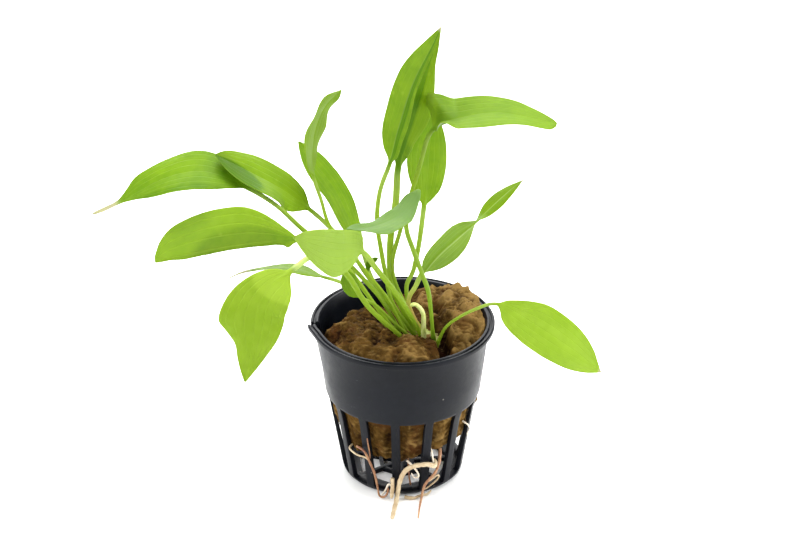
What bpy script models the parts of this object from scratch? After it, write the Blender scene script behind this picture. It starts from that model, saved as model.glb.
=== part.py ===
"""A young sword plant (echinodorus) in a small black net pot, standing on its base.

Units are metres in the scene and millimetres in the values below. The origin is the middle
of the pot's underside, +Z is up and -Y is the side that the plant is usually seen from.
"""

import math

import bmesh
import bpy
from mathutils import Matrix, Vector, noise

MM = 0.001
GAP = 0.35

# The pot: a 5 cm net pot, turned, with slots between narrow bars.
POT_HEIGHT = 48.0
RIM_RADIUS = 25.9
MOUTH_RADIUS = 23.4
BASE_RADIUS = 17.2
POT_SIDES = 42
SLOTS = 14
FIRST_BAR = -5.6
BAR_WIDTH = 2.5
SLOT_FOOT = 2.0
SLOT_TOP = 26.5
WALL_SLOT = (14.5, 25)
BASE_SLOTS = 7
BASE_BAR_WIDTH = 1.5
BASE_SLOT_RINGS = ((3.6, 6.3), (7.4, 13.6))
CRACK_ANGLE = 184.0
CRACK_WIDTH = 1.1
CRACK_DEPTH = 3.2

# The mineral wool plug that the plant is rooted in.
PLUG_FOOT = 10.8
PLUG_RIGHT_RISE = 2.0
PLUG_TOP = 45.6
PLUG_LUMPS = (
    # x, y, rise, reach
    (3.0, -18.0, 4.2, 5.5),
    (-11.0, -9.0, 3.4, 7.0),
    (15.0, 2.0, 4.6, 5.5),
    (15.5, 15.0, 3.6, 4.5),
    (-20.0, 5.0, -3.5, 7.0),
)

# The crown that every leaf stalk starts from, and the pocket that it sits in.
CROWN_AT = (3.2, -7.0, 44.5)
CROWN_RADII = (6.4, 6.0, 1.4)
POCKET_AT = (3.4, -7.3, 48.8)
POCKET_RADII = (10.6, 9.6, 6.7)
CLEFT_AT = (11.0, -13.0, 47.0)
CLEFT_RADII = (1.9, 11.0, 9.0)
STALK_FOOT = 46.8

# Roots lie this little above the surface that the pot stands on.
FLOOR_GAP = 0.05

# Leaves: each is one grown piece, a round stalk that widens into a blade.
STALK_ROWS = 5
BLADE_ROWS = (0.05, 0.13, 0.23, 0.34, 0.46, 0.58, 0.70, 0.81, 0.90, 0.96, 1.0)
SMALL_BLADE_ROWS = (0.1, 0.3, 0.55, 0.8, 1.0)
SMALL_BLADE = 3.0
LIFT_STARTS = 0.2
BLADE_HALF_THICKNESS = 0.26
TO_VIEWER = (0.0, -0.87, 0.49)

# stalk: points from the foot to the neck, where the blade starts; blade: points after it to the tip.
# face: how far along the blade, and the way the upper face looks there.
# profile: share of the blade, and the half widths left and right of the midrib there.
# lift: share of the blade, and the degrees that the left and the right half rise off the flat.
LEAVES = {
    "leaf_far_left": {
        "stalk": [(-0.5, -5.6, STALK_FOOT), (-5.7, -8, 58.4), (-10.4, -5.5, 63.3), (-17, -2, 68.6),
                  (-27.3, 3, 74.4), (-34.8, 6, 80.6), (-43.1, 8, 85.2)],
        "blade": [(-54.4, 10, 89.1), (-65.6, 11, 86.8), (-77.1, 11, 80.3), (-82, 11, 77.8),
                  (-86.9, 11, 75.6)],
        "profile": [(0, 0.7, 0.8), (0.08, 3, 3.8), (0.2, 6.8, 7), (0.34, 8.5, 8.8), (0.48, 7.4, 8.4),
                    (0.6, 5.2, 7.2), (0.7, 2.8, 6), (0.77, 1.6, 3.2), (0.83, 1.2, 1.3), (0.92, 1.2, 1.1),
                    (0.98, 0.7, 0.7), (1, 0.2, 0.2)],
        "face": [(0, (0, -0.25, 0.97))],
        "lift": [(0, 5, 5)], "radius": 0.65,
    },
    "leaf_upper_left": {
        "stalk": [(1.2, -4.6, STALK_FOOT), (-5.2, -6, 58.5), (-9.7, -1, 62.1), (-15, 5, 67.7),
                  (-20.4, 11, 71.3), (-26.1, 15, 74.9)],
        "blade": [(-33.2, 16.2, 80), (-41.6, 14, 86.5), (-51.9, 12.3, 93.1)],
        "profile": [(0, 0.7, 0.7), (0.06, 3, 2.4), (0.14, 6.4, 5.6), (0.27, 9.2, 8.2), (0.44, 10.2, 9.8),
                    (0.6, 9.8, 9.2), (0.75, 8, 7.2), (0.88, 5, 4.6), (0.96, 2.2, 2), (1, 0.2, 0.2)],
        "face": [(0, (0, -0.15, 0.99))],
        "lift": [(0, 8, 8)], "radius": 0.65,
    },
    "leaf_mid_left": {
        "stalk": [(-0.8, -8.2, STALK_FOOT), (-7.1, -12, 58.4), (-10.6, -12, 64), (-15.2, -11, 70.2),
                  (-22.2, -9, 75.3), (-28.2, -8, 77.3)],
        "blade": [(-38.1, -6, 75.6), (-48.5, -4, 73), (-58.4, -2, 69.8), (-68.7, 0, 66.3)],
        "profile": [(0, 0.7, 0.7), (0.08, 2.6, 2.8), (0.16, 5.2, 5.7), (0.25, 6.8, 8.4), (0.36, 7.4, 10.5),
                    (0.5, 7.4, 11), (0.64, 6, 10.8), (0.75, 2.2, 10.1), (0.87, 0.7, 8.4), (0.95, 0.5, 5.4),
                    (0.99, 0.4, 2.2), (1, 0.3, 1)],
        "face": [(0, (0, -0.75, 0.66))],
        "lift": [(0, -155, 4)], "radius": 0.65,
    },
    "leaf_front_pale": {
        "stalk": [(5.6, -8.4, STALK_FOOT), (0.4, -18, 62.6), (-3.4, -22, 70.7), (-6.8, -26, 77.6),
                  (-10.6, -30, 85.2)],
        "blade": [(-15.9, -37, 89.2), (-21.2, -44, 94), (-27.1, -50, 99.5)],
        "profile": [(0, 1.4, 2), (0.05, 2.4, 4.2), (0.12, 3.4, 5), (0.22, 4.6, 5.3), (0.32, 6.4, 5.3),
                    (0.42, 7.2, 5.1), (0.57, 6, 4.8), (0.75, 3.8, 4), (0.9, 1.8, 2.4), (1, 0.3, 0.4)],
        "face": [(0, TO_VIEWER)],
        "lift": [(0, 6, 6)], "radius": 0.75,
    },
    "leaf_front_grey": {
        "stalk": [(8.5, -10.7, STALK_FOOT), (7.6, -17, 60.5), (6.8, -21, 68.6), (5.1, -26, 76.4),
                  (2.6, -32, 87), (0.8, -34, 94.5), (2, -35.5, 102), (4, -38, 106.9)],
        "blade": [(2.6, -41.5, 105), (-0.2, -46, 103.9), (-4.4, -52, 104.7), (-8.8, -57, 105.8),
                  (-13.4, -62, 108)],
        "profile": [(0, 0.8, 1.6), (0.12, 1.6, 3.2), (0.3, 3.4, 3.3), (0.45, 5.2, 3), (0.6, 6, 2.8),
                    (0.75, 6, 2.5), (0.88, 5, 2), (0.96, 3, 1.2), (1, 0.6, 0.4)],
        "face": [(0, (0.1, 0.12, 1))],
        "lift": [(0, 8, 8)], "radius": 0.65,
    },
    "leaf_upright_left": {
        "stalk": [(1.1, -7.5, STALK_FOOT), (-3.9, -10.2, 59.8), (-9, -8, 65.9), (-14.8, -3, 71.6),
                  (-20.3, 2, 76.4), (-22.5, 5, 83), (-24.7, 7, 89.3)],
        "blade": [(-24.9, 8.5, 96.5), (-23.9, 10, 102.4), (-21.3, 11.5, 108.3), (-16.8, 12, 112.8)],
        "profile": [(0, 0.6, 0.6), (0.12, 3.2, 1.6), (0.26, 5.8, 3), (0.4, 6.2, 4.4), (0.52, 5.6, 5),
                    (0.65, 4.4, 4.2), (0.78, 4.2, 3.2), (0.88, 4.2, 2.6), (0.95, 2.8, 1.6), (1, 0.3, 0.3)],
        "face": [(0, (0.9, -0.35, 0.2))],
        "lift": [(0, 8, 8)], "radius": 0.5,
    },
    "leaf_dark_left": {
        "stalk": [(0.6, -2.2, STALK_FOOT), (-3.8, -1.5, 55.1), (-7.8, 5, 56.6), (-10.1, 9.5, 60),
                  (-11.5, 12, 63.8)],
        "blade": [(-15.5, 16, 71.9), (-20.3, 20, 80.3), (-29.5, 24, 91.8)],
        "profile": [(0, 0.6, 0.6), (0.08, 2.4, 2.5), (0.2, 4.8, 4.6), (0.35, 6.2, 5.8), (0.5, 7.4, 6.3),
                    (0.62, 8, 6.7), (0.76, 7, 6), (0.87, 4.8, 4), (0.95, 2.2, 1.8), (1, 0.2, 0.2)],
        "face": [(0, (0.75, -0.25, 0.6))],
        "lift": [(0, 6, 6)], "radius": 0.6,
    },
    "leaf_top_front": {
        "stalk": [(3.3, -6.5, STALK_FOOT), (-2.8, -8, 57.7), (-4.6, -6, 64.8), (-6, -3, 71.6),
                  (-7.1, -1, 79.8), (-6.2, 1, 88), (-3.5, 2, 95.6)],
        "blade": [(-1, 3, 105.6), (2.7, 4, 117.7), (10.1, 4, 134.3)],
        "profile": [(0, 0.7, 0.8), (0.05, 2.8, 2), (0.1, 4.3, 2.5), (0.17, 5.2, 2.8), (0.3, 6, 3),
                    (0.44, 6.5, 2.7), (0.58, 6, 2.2), (0.72, 4.6, 1.6), (0.84, 3, 1.2), (0.94, 1.4, 0.8),
                    (1, 0.2, 0.2)],
        "face": [(0, (-0.7, -0.65, 0.25))],
        "lift": [(0, 8, 8)], "radius": 0.65,
    },
    "leaf_top_rear": {
        "stalk": [(3.2, -3.4, STALK_FOOT), (-2.8, -2, 58.5), (-3.6, 2, 64.3), (-3.3, 6, 72.2),
                  (-1.9, 9, 81), (-1.3, 11, 90.2)],
        "blade": [(1.7, 13, 101.1), (5, 14, 112), (10.2, 12, 130.3)],
        "profile": [(0, 1, 1), (0.08, 2.4, 2.3), (0.19, 4.2, 3.4), (0.32, 5.2, 4.3), (0.46, 5.2, 4),
                    (0.6, 4.4, 2.9), (0.74, 3.2, 1.8), (0.88, 1.8, 1), (1, 0.2, 0.2)],
        "face": [(0, (0.5, -0.8, 0.3))],
        "lift": [(0, 8, 8)], "radius": 0.95,
    },
    "leaf_right_folded": {
        "stalk": [(5.2, -3.6, STALK_FOOT), (-0.8, -5.5, 59.2), (-3, -3.5, 67.2), (-0.8, 1, 75.1),
                  (2, 4, 84.4), (4.7, 6, 93.1), (7.9, 7, 103.2)],
        "blade": [(15.8, 7, 106.8), (23.8, 6.5, 108.4), (30.6, 6, 108.1), (41.6, 4, 106.3)],
        "profile": [(0, 1.2, 0.8), (0.03, 5, 3), (0.08, 9.4, 4.6), (0.16, 9, 5.4), (0.26, 7.6, 6.2),
                    (0.37, 6.8, 7), (0.5, 6.3, 6.8), (0.65, 5.6, 5.8), (0.78, 3.8, 4.6), (0.9, 2.2, 3.7),
                    (0.97, 1.3, 2.9), (1, 0.5, 0.8)],
        "face": [(0, (-0.05, -0.1, 0.98))],
        "lift": [(0, 78, 60), (0.08, 78, 60), (0.24, 20, 3), (1, 18, 3)], "radius": 0.6,
    },
    "leaf_rear": {
        "stalk": [(3.0, -0.8, STALK_FOOT), (0.9, 3, 56.3), (2.9, 8, 58.9), (4.6, 14, 64.8), (6, 20, 73.7)],
        "blade": [(7.1, 24, 81.5), (7.7, 27, 89.5), (8.8, 30, 98.4)],
        "profile": [(0, 0.8, 0.8), (0.07, 2.3, 2.2), (0.18, 4.6, 4.2), (0.32, 6.5, 5.3), (0.48, 7.2, 5.8),
                    (0.65, 6.5, 5.3), (0.8, 4.8, 3.8), (0.92, 2.4, 1.9), (1, 0.2, 0.2)],
        "face": [(0, (0.45, -0.85, 0.3))],
        "lift": [(0, 5, 5)], "radius": 0.75,
    },
    "leaf_twisted_right": {
        "stalk": [(5.2, -6, STALK_FOOT), (1.4, -8.5, 58.3), (3.4, -7, 61.9), (5.3, -5, 65.5)],
        "blade": [(10.5, -2, 70.5), (16.1, 1, 74.5), (20.7, 3, 77.8), (26.2, 5, 82.4), (33.1, 7, 88.1)],
        "profile": [(0, 0.8, 0.8), (0.06, 3.8, 3.6), (0.14, 7, 5.6), (0.25, 8.4, 6.3), (0.36, 7.8, 6.5),
                    (0.46, 5, 4.8), (0.55, 3, 3), (0.66, 3.6, 2.6), (0.77, 4, 2.8), (0.88, 2.8, 2),
                    (0.95, 1.4, 1.1), (1, 0.2, 0.2)],
        "face": [(0, (-0.55, 0.75, 0.35)), (0.42, (-0.55, 0.75, 0.35)), (0.7, (-0.58, -0.21, 0.78)),
                 (1, (-0.58, -0.21, 0.78))],
        "lift": [(0, 3, 3)], "radius": 0.75,
    },
    "leaf_low_right": {
        "stalk": [(9.4, -12.4, STALK_FOOT), (11.6, -13, 52.7), (15.1, -13, 55.8), (20, -13, 58.6),
                  (26, -13, 60.2)],
        "blade": [(35.1, -14, 55.1), (44.9, -15, 48.4), (54.8, -16, 40.4)],
        "profile": [(0, 0.6, 0.8), (0.03, 1.4, 3), (0.12, 3.4, 5.8), (0.26, 6.4, 7.2), (0.38, 8.2, 7.9),
                    (0.52, 8.3, 8.1), (0.71, 6.9, 6.7), (0.87, 4.4, 3.9), (0.96, 1.6, 1.5), (1, 0.2, 0.2)],
        "face": [(0, (0.4, -0.5, 0.77))],
        "lift": [(0, 4, 4)], "radius": 0.5,
    },
    "leaf_hanging_front": {
        "stalk": [(0.9, -9.9, STALK_FOOT), (-7.8, -17.5, 59.9), (-11, -19.5, 65.6), (-14, -23, 73.3),
                  (-17.5, -28, 80.8), (-20.7, -32, 85.5), (-24.2, -35, 86.2), (-29.1, -37, 82.9)],
        "blade": [(-34.1, -38, 79.6), (-37.6, -39, 73.7), (-38.8, -40, 65.9), (-41.5, -41, 52.2)],
        "profile": [(0, 0.8, 0.8), (0.05, 3.8, 2), (0.11, 6.4, 3.4), (0.22, 7.3, 5.8), (0.34, 7.6, 7.9),
                    (0.46, 7.6, 9.6), (0.56, 6.9, 9.7), (0.64, 5.9, 7.4), (0.72, 4.7, 4.7),
                    (0.82, 3.2, 3.3), (0.92, 1.6, 1.7), (1, 0.2, 0.2)],
        "face": [(0, (-0.1, -0.8, 0.6))],
        "lift": [(0, 4, 4)], "radius": 0.75,
    },
    "leaf_thin_left": {
        "stalk": [(-2.4, -6.2, STALK_FOOT), (-5.3, -6.4, 50.3), (-8.4, -7.2, 54.3), (-11.5, -8.2, 59.6),
                  (-16.4, -7.5, 63.6), (-21.1, -6, 64.5)],
        "blade": [(-28, -4, 65.9), (-35, -2, 65.8), (-43.3, 0, 63.4), (-48.5, 1, 60.4)],
        "profile": [(0, 0.6, 0.6), (0.08, 2.6, 1.6), (0.21, 5, 4), (0.36, 5.8, 4.8), (0.5, 5.2, 4.8),
                    (0.62, 3.6, 4), (0.72, 2, 2.6), (0.8, 1.3, 1.6), (0.92, 1, 1), (1, 0.2, 0.2)],
        "face": [(0, (0, 0.3, 0.95))],
        "lift": [(0, 4, 4)], "radius": 0.5,
    },
    "leaf_small": {
        "stalk": [(2.7, -9.2, STALK_FOOT), (-3.8, -12, 55.2), (-7.8, -14.5, 61), (-11.9, -15, 63.5)],
        "blade": [(-14, -15, 67.2), (-15.6, -15, 71.5)],
        "profile": [(0, 0.5, 0.6), (0.2, 2, 1.6), (0.45, 2.6, 2.2), (0.7, 2.3, 2.1), (0.88, 1.3, 1.4),
                    (1, 0.2, 0.2)],
        "face": [(0, TO_VIEWER)],
        "lift": [(0, 0, 0)], "radius": 0.5,
    },
    "leaf_young": {
        "stalk": [(-1.4, -3.6, STALK_FOOT), (-5.1, -3.5, 55.9), (-8.6, 2, 58.3), (-10, 3, 61.9)],
        "blade": [(-9.4, 3.5, 64.1), (-8, 3.5, 65.1), (-6.9, 3.5, 65.7)],
        "profile": [(0, 0.4, 0.4), (0.4, 1, 1), (0.8, 0.7, 0.7), (1, 0.15, 0.15)],
        "face": [(0, TO_VIEWER)],
        "lift": [(0, 0, 0)], "radius": 0.4,
    },
}

# Tubes: a bent leaf stalk that has lost its blade, and the roots. Each has points and end radii.
TUBES = {
    "bent_stalk": {
        "points": [(5.9, -11.2, STALK_FOOT), (5.7, -12.5, 53.3), (5.6, -12.5, 56.8), (4.4, -12.5, 59),
                   (3.1, -12.5, 59.9), (2, -12.8, 59.4)],
        "radii": (0.75, 0.55), "colour": "old_stalk",
    },
    "root_thick": {
        "points": [(8.8, -15.2, 10.9), (9.1, -16.2, 10.6), (9, -17.5, 10.3), (7.1, -19.4, 12.2),
                   (3.2, -20.2, 12.1), (0.7, -20, 10.4), (-0.8, -19.6, 6.6), (-1.3, -19.4, 3.4),
                   (-1.7, -20, 0.75), (-2.3, -24.1, 0.75), (-3, -29.5, 0.7)],
        "radii": (0.68, 0.6), "colour": "root",
    },
    "root_orange": {
        "points": [(11.6, -14, 11.6), (10.9, -15.6, 9.4), (8.8, -18.1, 7.9), (6.7, -18.7, 5.7),
                   (5.8, -18.5, 3.1), (5.4, -18.6, 0.6), (4.9, -22.1, 0.5), (4.3, -29, 0.35)],
        "radii": (0.6, 0.22), "colour": "root",
    },
    "root_brown": {
        "points": [(-12.8, -13.8, 14.6), (-12.8, -15.2, 15.4), (-10.8, -17.9, 15.6), (-9, -18.2, 11.4),
                   (-7.9, -18, 8), (-7.2, -18.3, 4.4), (-6.6, -18.4, 0.8), (-5.3, -18.8, 0.7),
                   (-4.4, -19.3, 2.2), (-4.1, -19.8, 4.6)],
        "radii": (0.42, 0.38), "colour": "root",
    },
    "root_base": {
        "points": [(0.6, -18.6, 0.65), (2.5, -19.2, 0.6), (3.9, -18.9, 0.6)],
        "radii": (0.5, 0.42), "colour": "root",
    },
    "root_curl": {
        "points": [(1.1, -18.2, 12.7), (1.7, -18.1, 12), (2.6, -18, 11), (4, -18.6, 9.4),
                   (4.6, -18.4, 7.4), (3.3, -18.4, 7), (2.4, -18.3, 8.6)],
        "radii": (0.3, 0.22), "colour": "root",
    },
    "root_upright": {
        "points": [(-2.9, -19.5, 7.6), (-2.9, -19.8, 4.4), (-3.2, -20, 1)],
        "radii": (0.55, 0.5), "colour": "root",
    },
}

COLOURS = {
    "pot": ((0.018, 0.021, 0.027), 0.42),
    "wool": ((0.16, 0.085, 0.03), 0.95),
    "crown": ((0.36, 0.42, 0.09), 0.6),
    "leaf": ((0.26, 0.46, 0.03), 0.45),
    "old_stalk": ((0.62, 0.60, 0.28), 0.5),
    "root": ((0.66, 0.50, 0.28), 0.6),
}


def clear_scene():
    for thing in list(bpy.data.objects):
        bpy.data.objects.remove(thing, do_unlink=True)


def new_collection(name):
    group = bpy.data.collections.new(name)
    bpy.context.scene.collection.children.link(group)
    return group


def material(name):
    colour, roughness = COLOURS[name]
    made = bpy.data.materials.new(name)
    made.use_nodes = True
    shader = made.node_tree.nodes["Principled BSDF"]
    shader.inputs["Base Color"].default_value = (*colour, 1.0)
    shader.inputs["Roughness"].default_value = roughness
    shader.inputs["Metallic"].default_value = 0.0
    return made


def mesh_object(name, mesh, group, colour):
    made = bpy.data.objects.new(name, mesh)
    mesh.materials.append(MATERIALS[colour])
    group.objects.link(made)
    return made


def cutter_object(name, shape, group):
    mesh = bpy.data.meshes.new(name)
    shape.to_mesh(mesh)
    shape.free()
    made = bpy.data.objects.new(name, mesh)
    group.objects.link(made)
    made.hide_render = True
    made.display_type = "WIRE"
    return made


def cut(thing, cutter):
    boolean = thing.modifiers.new(cutter.name, "BOOLEAN")
    boolean.operation = "DIFFERENCE"
    boolean.solver = "EXACT"
    boolean.object = cutter


def smooth_route(points, steps):
    """A Catmull-Rom curve through the points, with this many steps from each to the next."""
    knots = [Vector(p) for p in points]
    knots = [2 * knots[0] - knots[1], *knots, 2 * knots[-1] - knots[-2]]
    route = []
    for a, b, c, d in zip(knots, knots[1:], knots[2:], knots[3:]):
        for step in range(steps):
            t = step / steps
            route.append(0.5 * (2 * b + (c - a) * t + (2 * a - 5 * b + 4 * c - d) * t * t
                                + (3 * b - a - 3 * c + d) * t ** 3))
    return [*route, knots[-2]]


def along(route, share):
    """The point and the direction at a share of the route's length."""
    lengths = [0.0]
    for a, b in zip(route, route[1:]):
        lengths.append(lengths[-1] + (b - a).length)
    wanted = share * lengths[-1]
    i = 0
    while i < len(route) - 2 and lengths[i + 1] < wanted:
        i += 1
    part = (wanted - lengths[i]) / (lengths[i + 1] - lengths[i])
    point = route[i].lerp(route[i + 1], part)
    before, after = route[max(i - 1, 0)], route[min(i + 2, len(route) - 1)]
    return point, (after - before).normalized()


def ease(value):
    value = min(max(value, 0.0), 1.0)
    return value * value * (3 - 2 * value)


def face_at(leaf, share):
    """The way the upper face looks at a share of the blade, eased between the given ones."""
    faces = leaf["face"]
    for (start, first), (end, last) in zip(faces, faces[1:]):
        if share <= end:
            return Vector(first).lerp(Vector(last), ease((share - start) / (end - start)))
    return Vector(faces[-1][1])


def lift_at(leaf, side, share):
    """How many degrees one half of the blade rises off the flat, eased between the given shares."""
    lifts = leaf["lift"]
    for first, last in zip(lifts, lifts[1:]):
        if share <= last[0]:
            part = ease((share - first[0]) / (last[0] - first[0]))
            return first[side] + (last[side] - first[side]) * part
    return lifts[-1][side]


def half_width(leaf, side, share):
    """The blade's half width at a share of its length, on a smooth line through its profile."""
    knots = leaf["profile"]
    last = len(knots) - 1
    i = next(i for i in range(last) if share <= knots[i + 1][0] or i == last - 1)
    before, start, end, after = knots[max(i - 1, 0)], knots[i], knots[i + 1], knots[min(i + 2, last)]
    span = end[0] - start[0]
    t = min((share - start[0]) / span, 1.0)
    leaving = (end[side] - before[side]) / (end[0] - before[0]) * span
    coming = (after[side] - start[side]) / (after[0] - start[0]) * span
    return ((1 + 2 * t) * (1 - t) ** 2 * start[side] + t * (1 - t) ** 2 * leaving
            + t * t * (3 - 2 * t) * end[side] + t * t * (t - 1) * coming)


def leaf_section(leaf, share, across, up):
    """Eight points round the leaf, from its left edge over the upper face and back underneath."""
    radius = leaf["radius"]
    blade = max(share, 0.0)
    thin = radius * (1 - 0.72 * blade)
    skin = BLADE_HALF_THICKNESS * (1 - 0.6 * blade ** 4)
    halves = []
    for side, sign in ((1, -1), (2, 1)):
        lift = math.radians(lift_at(leaf, side, blade)) * ease(blade / LIFT_STARTS)
        outward = across * (sign * math.cos(lift)) + up * math.sin(lift)
        normal = across * (-sign * math.sin(lift)) + up * math.cos(lift)
        width = max(half_width(leaf, side, blade), thin)
        reach = 0.55 * width
        height = skin + max(thin - skin, 0.0) * math.exp(-(reach / radius) ** 2)
        halves.append((outward * width, outward * reach, normal * min(height, thin), normal))
    middle = (halves[0][3] + halves[1][3]).normalized() * thin
    left, right = halves
    return [left[0], left[1] + left[2], middle, right[1] + right[2],
            right[0], right[1] - right[2], -middle, left[1] - left[2]]


def leaf_frames(leaf):
    """The places, directions and blade shares of a leaf's rows, from its foot to its tip."""
    stalk = smooth_route([*leaf["stalk"], leaf["blade"][0]], 8)[:-8]
    blade = smooth_route([leaf["stalk"][-2], leaf["stalk"][-1], *leaf["blade"]], 8)[8:]
    rows = []
    widest = max(max(knot[1:]) for knot in leaf["profile"])
    for share in BLADE_ROWS if widest > SMALL_BLADE else SMALL_BLADE_ROWS:
        place, direction = along(blade, share)
        rows.append((place, direction, face_at(leaf, share), share))
    neck, direction = along(blade, 0.0)
    up = face_at(leaf, 0.0)
    rows.insert(0, (neck, direction, up, 0.0))
    up = (up - direction * up.dot(direction)).normalized()
    for step in reversed(range(STALK_ROWS)):
        place, direction = along(stalk, step / STALK_ROWS)
        up = (up - direction * up.dot(direction)).normalized()
        rows.insert(0, (place, direction, up.copy(), -1.0))
    return rows


def add_leaf(name, leaf, group):
    """A loft from the stalk's round section to the blade's flat ones."""
    shape = bmesh.new()
    rings = []
    for place, direction, face, share in leaf_frames(leaf):
        up = (face - direction * face.dot(direction)).normalized()
        across = direction.cross(up)
        section = leaf_section(leaf, share, across, up)
        rings.append([shape.verts.new((place + point) * MM) for point in section])
    for ring, following in zip(rings, rings[1:]):
        for i in range(len(ring)):
            j = (i + 1) % len(ring)
            shape.faces.new((ring[i], ring[j], following[j], following[i]))
    shape.faces.new(rings[0])
    shape.faces.new(list(reversed(rings[-1])))
    bmesh.ops.recalc_face_normals(shape, faces=shape.faces)
    mesh = bpy.data.meshes.new(name)
    shape.to_mesh(mesh)
    shape.free()
    mesh.shade_smooth()
    return mesh_object(name, mesh, group, "leaf")


def add_tube(name, tube, group):
    route = smooth_route(tube["points"], 2)
    data = bpy.data.curves.new(name, "CURVE")
    data.dimensions = "3D"
    first, last = tube["radii"]
    data.bevel_depth = first * MM
    data.bevel_resolution = 2
    data.use_fill_caps = True
    line = data.splines.new("POLY")
    line.points.add(len(route) - 1)
    for i, point in enumerate(route):
        point.z = max(point.z, first + FLOOR_GAP)
        line.points[i].co = (*(point * MM), 1.0)
        line.points[i].radius = 1 + (last / first - 1) * i / (len(route) - 1)
    data.materials.append(MATERIALS[tube["colour"]])
    made = bpy.data.objects.new(name, data)
    group.objects.link(made)
    return made


def pot_profile():
    """Radius and height from the middle of the floor, up the inside, over the rim and down."""
    foot = BASE_RADIUS
    inside = [(0, 1.2), (13.2, 1.2), (foot - 1.9, 1.6), (foot - 1, 2.6), (20.1, 23.6), (21.2, 27),
              (MOUTH_RADIUS - 0.5, 43.5), (MOUTH_RADIUS, POT_HEIGHT - 0.5)]
    rim = [(23.8, POT_HEIGHT), (24.4, POT_HEIGHT), (24.6, POT_HEIGHT - 0.5), (25, POT_HEIGHT - 0.5),
           (25.2, POT_HEIGHT), (RIM_RADIUS - 0.3, POT_HEIGHT), (RIM_RADIUS, POT_HEIGHT - 0.3),
           (RIM_RADIUS, POT_HEIGHT - 1.2), (RIM_RADIUS - 1.4, POT_HEIGHT - 1.6)]
    outside = [(24.2, POT_HEIGHT - 2.6), (23.1, 35), (22.2, 27.4), (21.2, 24.2), (foot + 0.4, 2.6),
               (foot, 1.2), (foot - 0.9, 0.3), (foot - 2, 0), (0, 0)]
    return inside + rim + outside


def between_bars(count, bar, inner, outer, low, high, turn):
    """A wedge whose sides lie along the two bars beside a slot, at this angle from -Y."""
    step = math.pi / count
    shape = bmesh.new()
    ends = []
    for radius in (inner, outer):
        half = radius * math.sin(step) - bar / 2 * math.cos(step)
        along_y = radius * math.cos(step)
        for sign in (-1, 1):
            ends.append((sign * half, -along_y))
    order = (ends[0], ends[1], ends[3], ends[2])
    face = shape.faces.new([shape.verts.new((x, y, low)) for x, y in order])
    raised = bmesh.ops.extrude_face_region(shape, geom=[face])
    tops = [v for v in raised["geom"] if isinstance(v, bmesh.types.BMVert)]
    bmesh.ops.translate(shape, verts=tops, vec=(0, 0, high - low))
    bmesh.ops.recalc_face_normals(shape, faces=shape.faces)
    bmesh.ops.transform(shape, verts=shape.verts, matrix=Matrix.Scale(MM, 4) @ Matrix.Rotation(turn, 4, "Z"))
    return shape


def add_pot(group, cutters):
    shape = bmesh.new()
    last = None
    for radius, height in pot_profile():
        vert = shape.verts.new((radius * MM, 0, height * MM))
        if last:
            shape.edges.new((last, vert))
        last = vert
    mesh = bpy.data.meshes.new("net_pot")
    shape.to_mesh(mesh)
    shape.free()
    pot = mesh_object("net_pot", mesh, group, "pot")
    turned = pot.modifiers.new("turn", "SCREW")
    turned.angle = math.tau
    turned.axis = "Z"
    turned.steps = POT_SIDES
    turned.render_steps = POT_SIDES
    turned.use_merge_vertices = True
    turned.merge_threshold = 0.00001
    for slot in range(SLOTS):
        turn = math.radians(FIRST_BAR) + (slot + 0.5) * math.tau / SLOTS
        wall_slot = between_bars(SLOTS, BAR_WIDTH, *WALL_SLOT, SLOT_FOOT, SLOT_TOP, turn)
        cut(pot, cutter_object(f"wall_slot_{slot + 1}", wall_slot, cutters))
    for ring, reach in enumerate(BASE_SLOT_RINGS):
        for slot in range(BASE_SLOTS):
            turn = math.radians(FIRST_BAR) + (slot + 0.5) * math.tau / BASE_SLOTS
            base_slot = between_bars(BASE_SLOTS, BASE_BAR_WIDTH, *reach, -1, 1.7, turn)
            cut(pot, cutter_object(f"base_slot_{ring + 1}_{slot + 1}", base_slot, cutters))
    crack = bmesh.new()
    bmesh.ops.create_cube(crack, size=1)
    place = Matrix.Rotation(math.radians(CRACK_ANGLE), 4, "Z") @ Matrix.Translation(
        (RIM_RADIUS * MM, 0, POT_HEIGHT * MM))
    size = Matrix.Diagonal((8 * MM, CRACK_WIDTH * MM, 2 * CRACK_DEPTH * MM, 1))
    bmesh.ops.transform(crack, verts=crack.verts, matrix=place @ size)
    cut(pot, cutter_object("rim_crack", crack, cutters))
    return pot


def inner_wall(height):
    """The pot's inside radius at a height."""
    if height < 23.6:
        return BASE_RADIUS - 1 + (20.1 - BASE_RADIUS + 1) * (height - 2.6) / 21
    if height < 27:
        return 20.1 + 1.1 * (height - 23.6) / 3.4
    return 21.2 + (MOUTH_RADIUS - 0.5 - 21.2) * (height - 27) / 16.5


def plug_top(x, y):
    height = PLUG_TOP
    for lump_x, lump_y, rise, reach in PLUG_LUMPS:
        height += rise * math.exp(-((x - lump_x) ** 2 + (y - lump_y) ** 2) / (2 * reach * reach))
    return height


def ellipsoid(centre, radii, segments, rings):
    shape = bmesh.new()
    place = Matrix.Translation(Vector(centre) * MM) @ Matrix.Diagonal((*(r * MM for r in radii), 1))
    bmesh.ops.create_uvsphere(shape, u_segments=segments, v_segments=rings, radius=1, matrix=place)
    return shape


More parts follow.
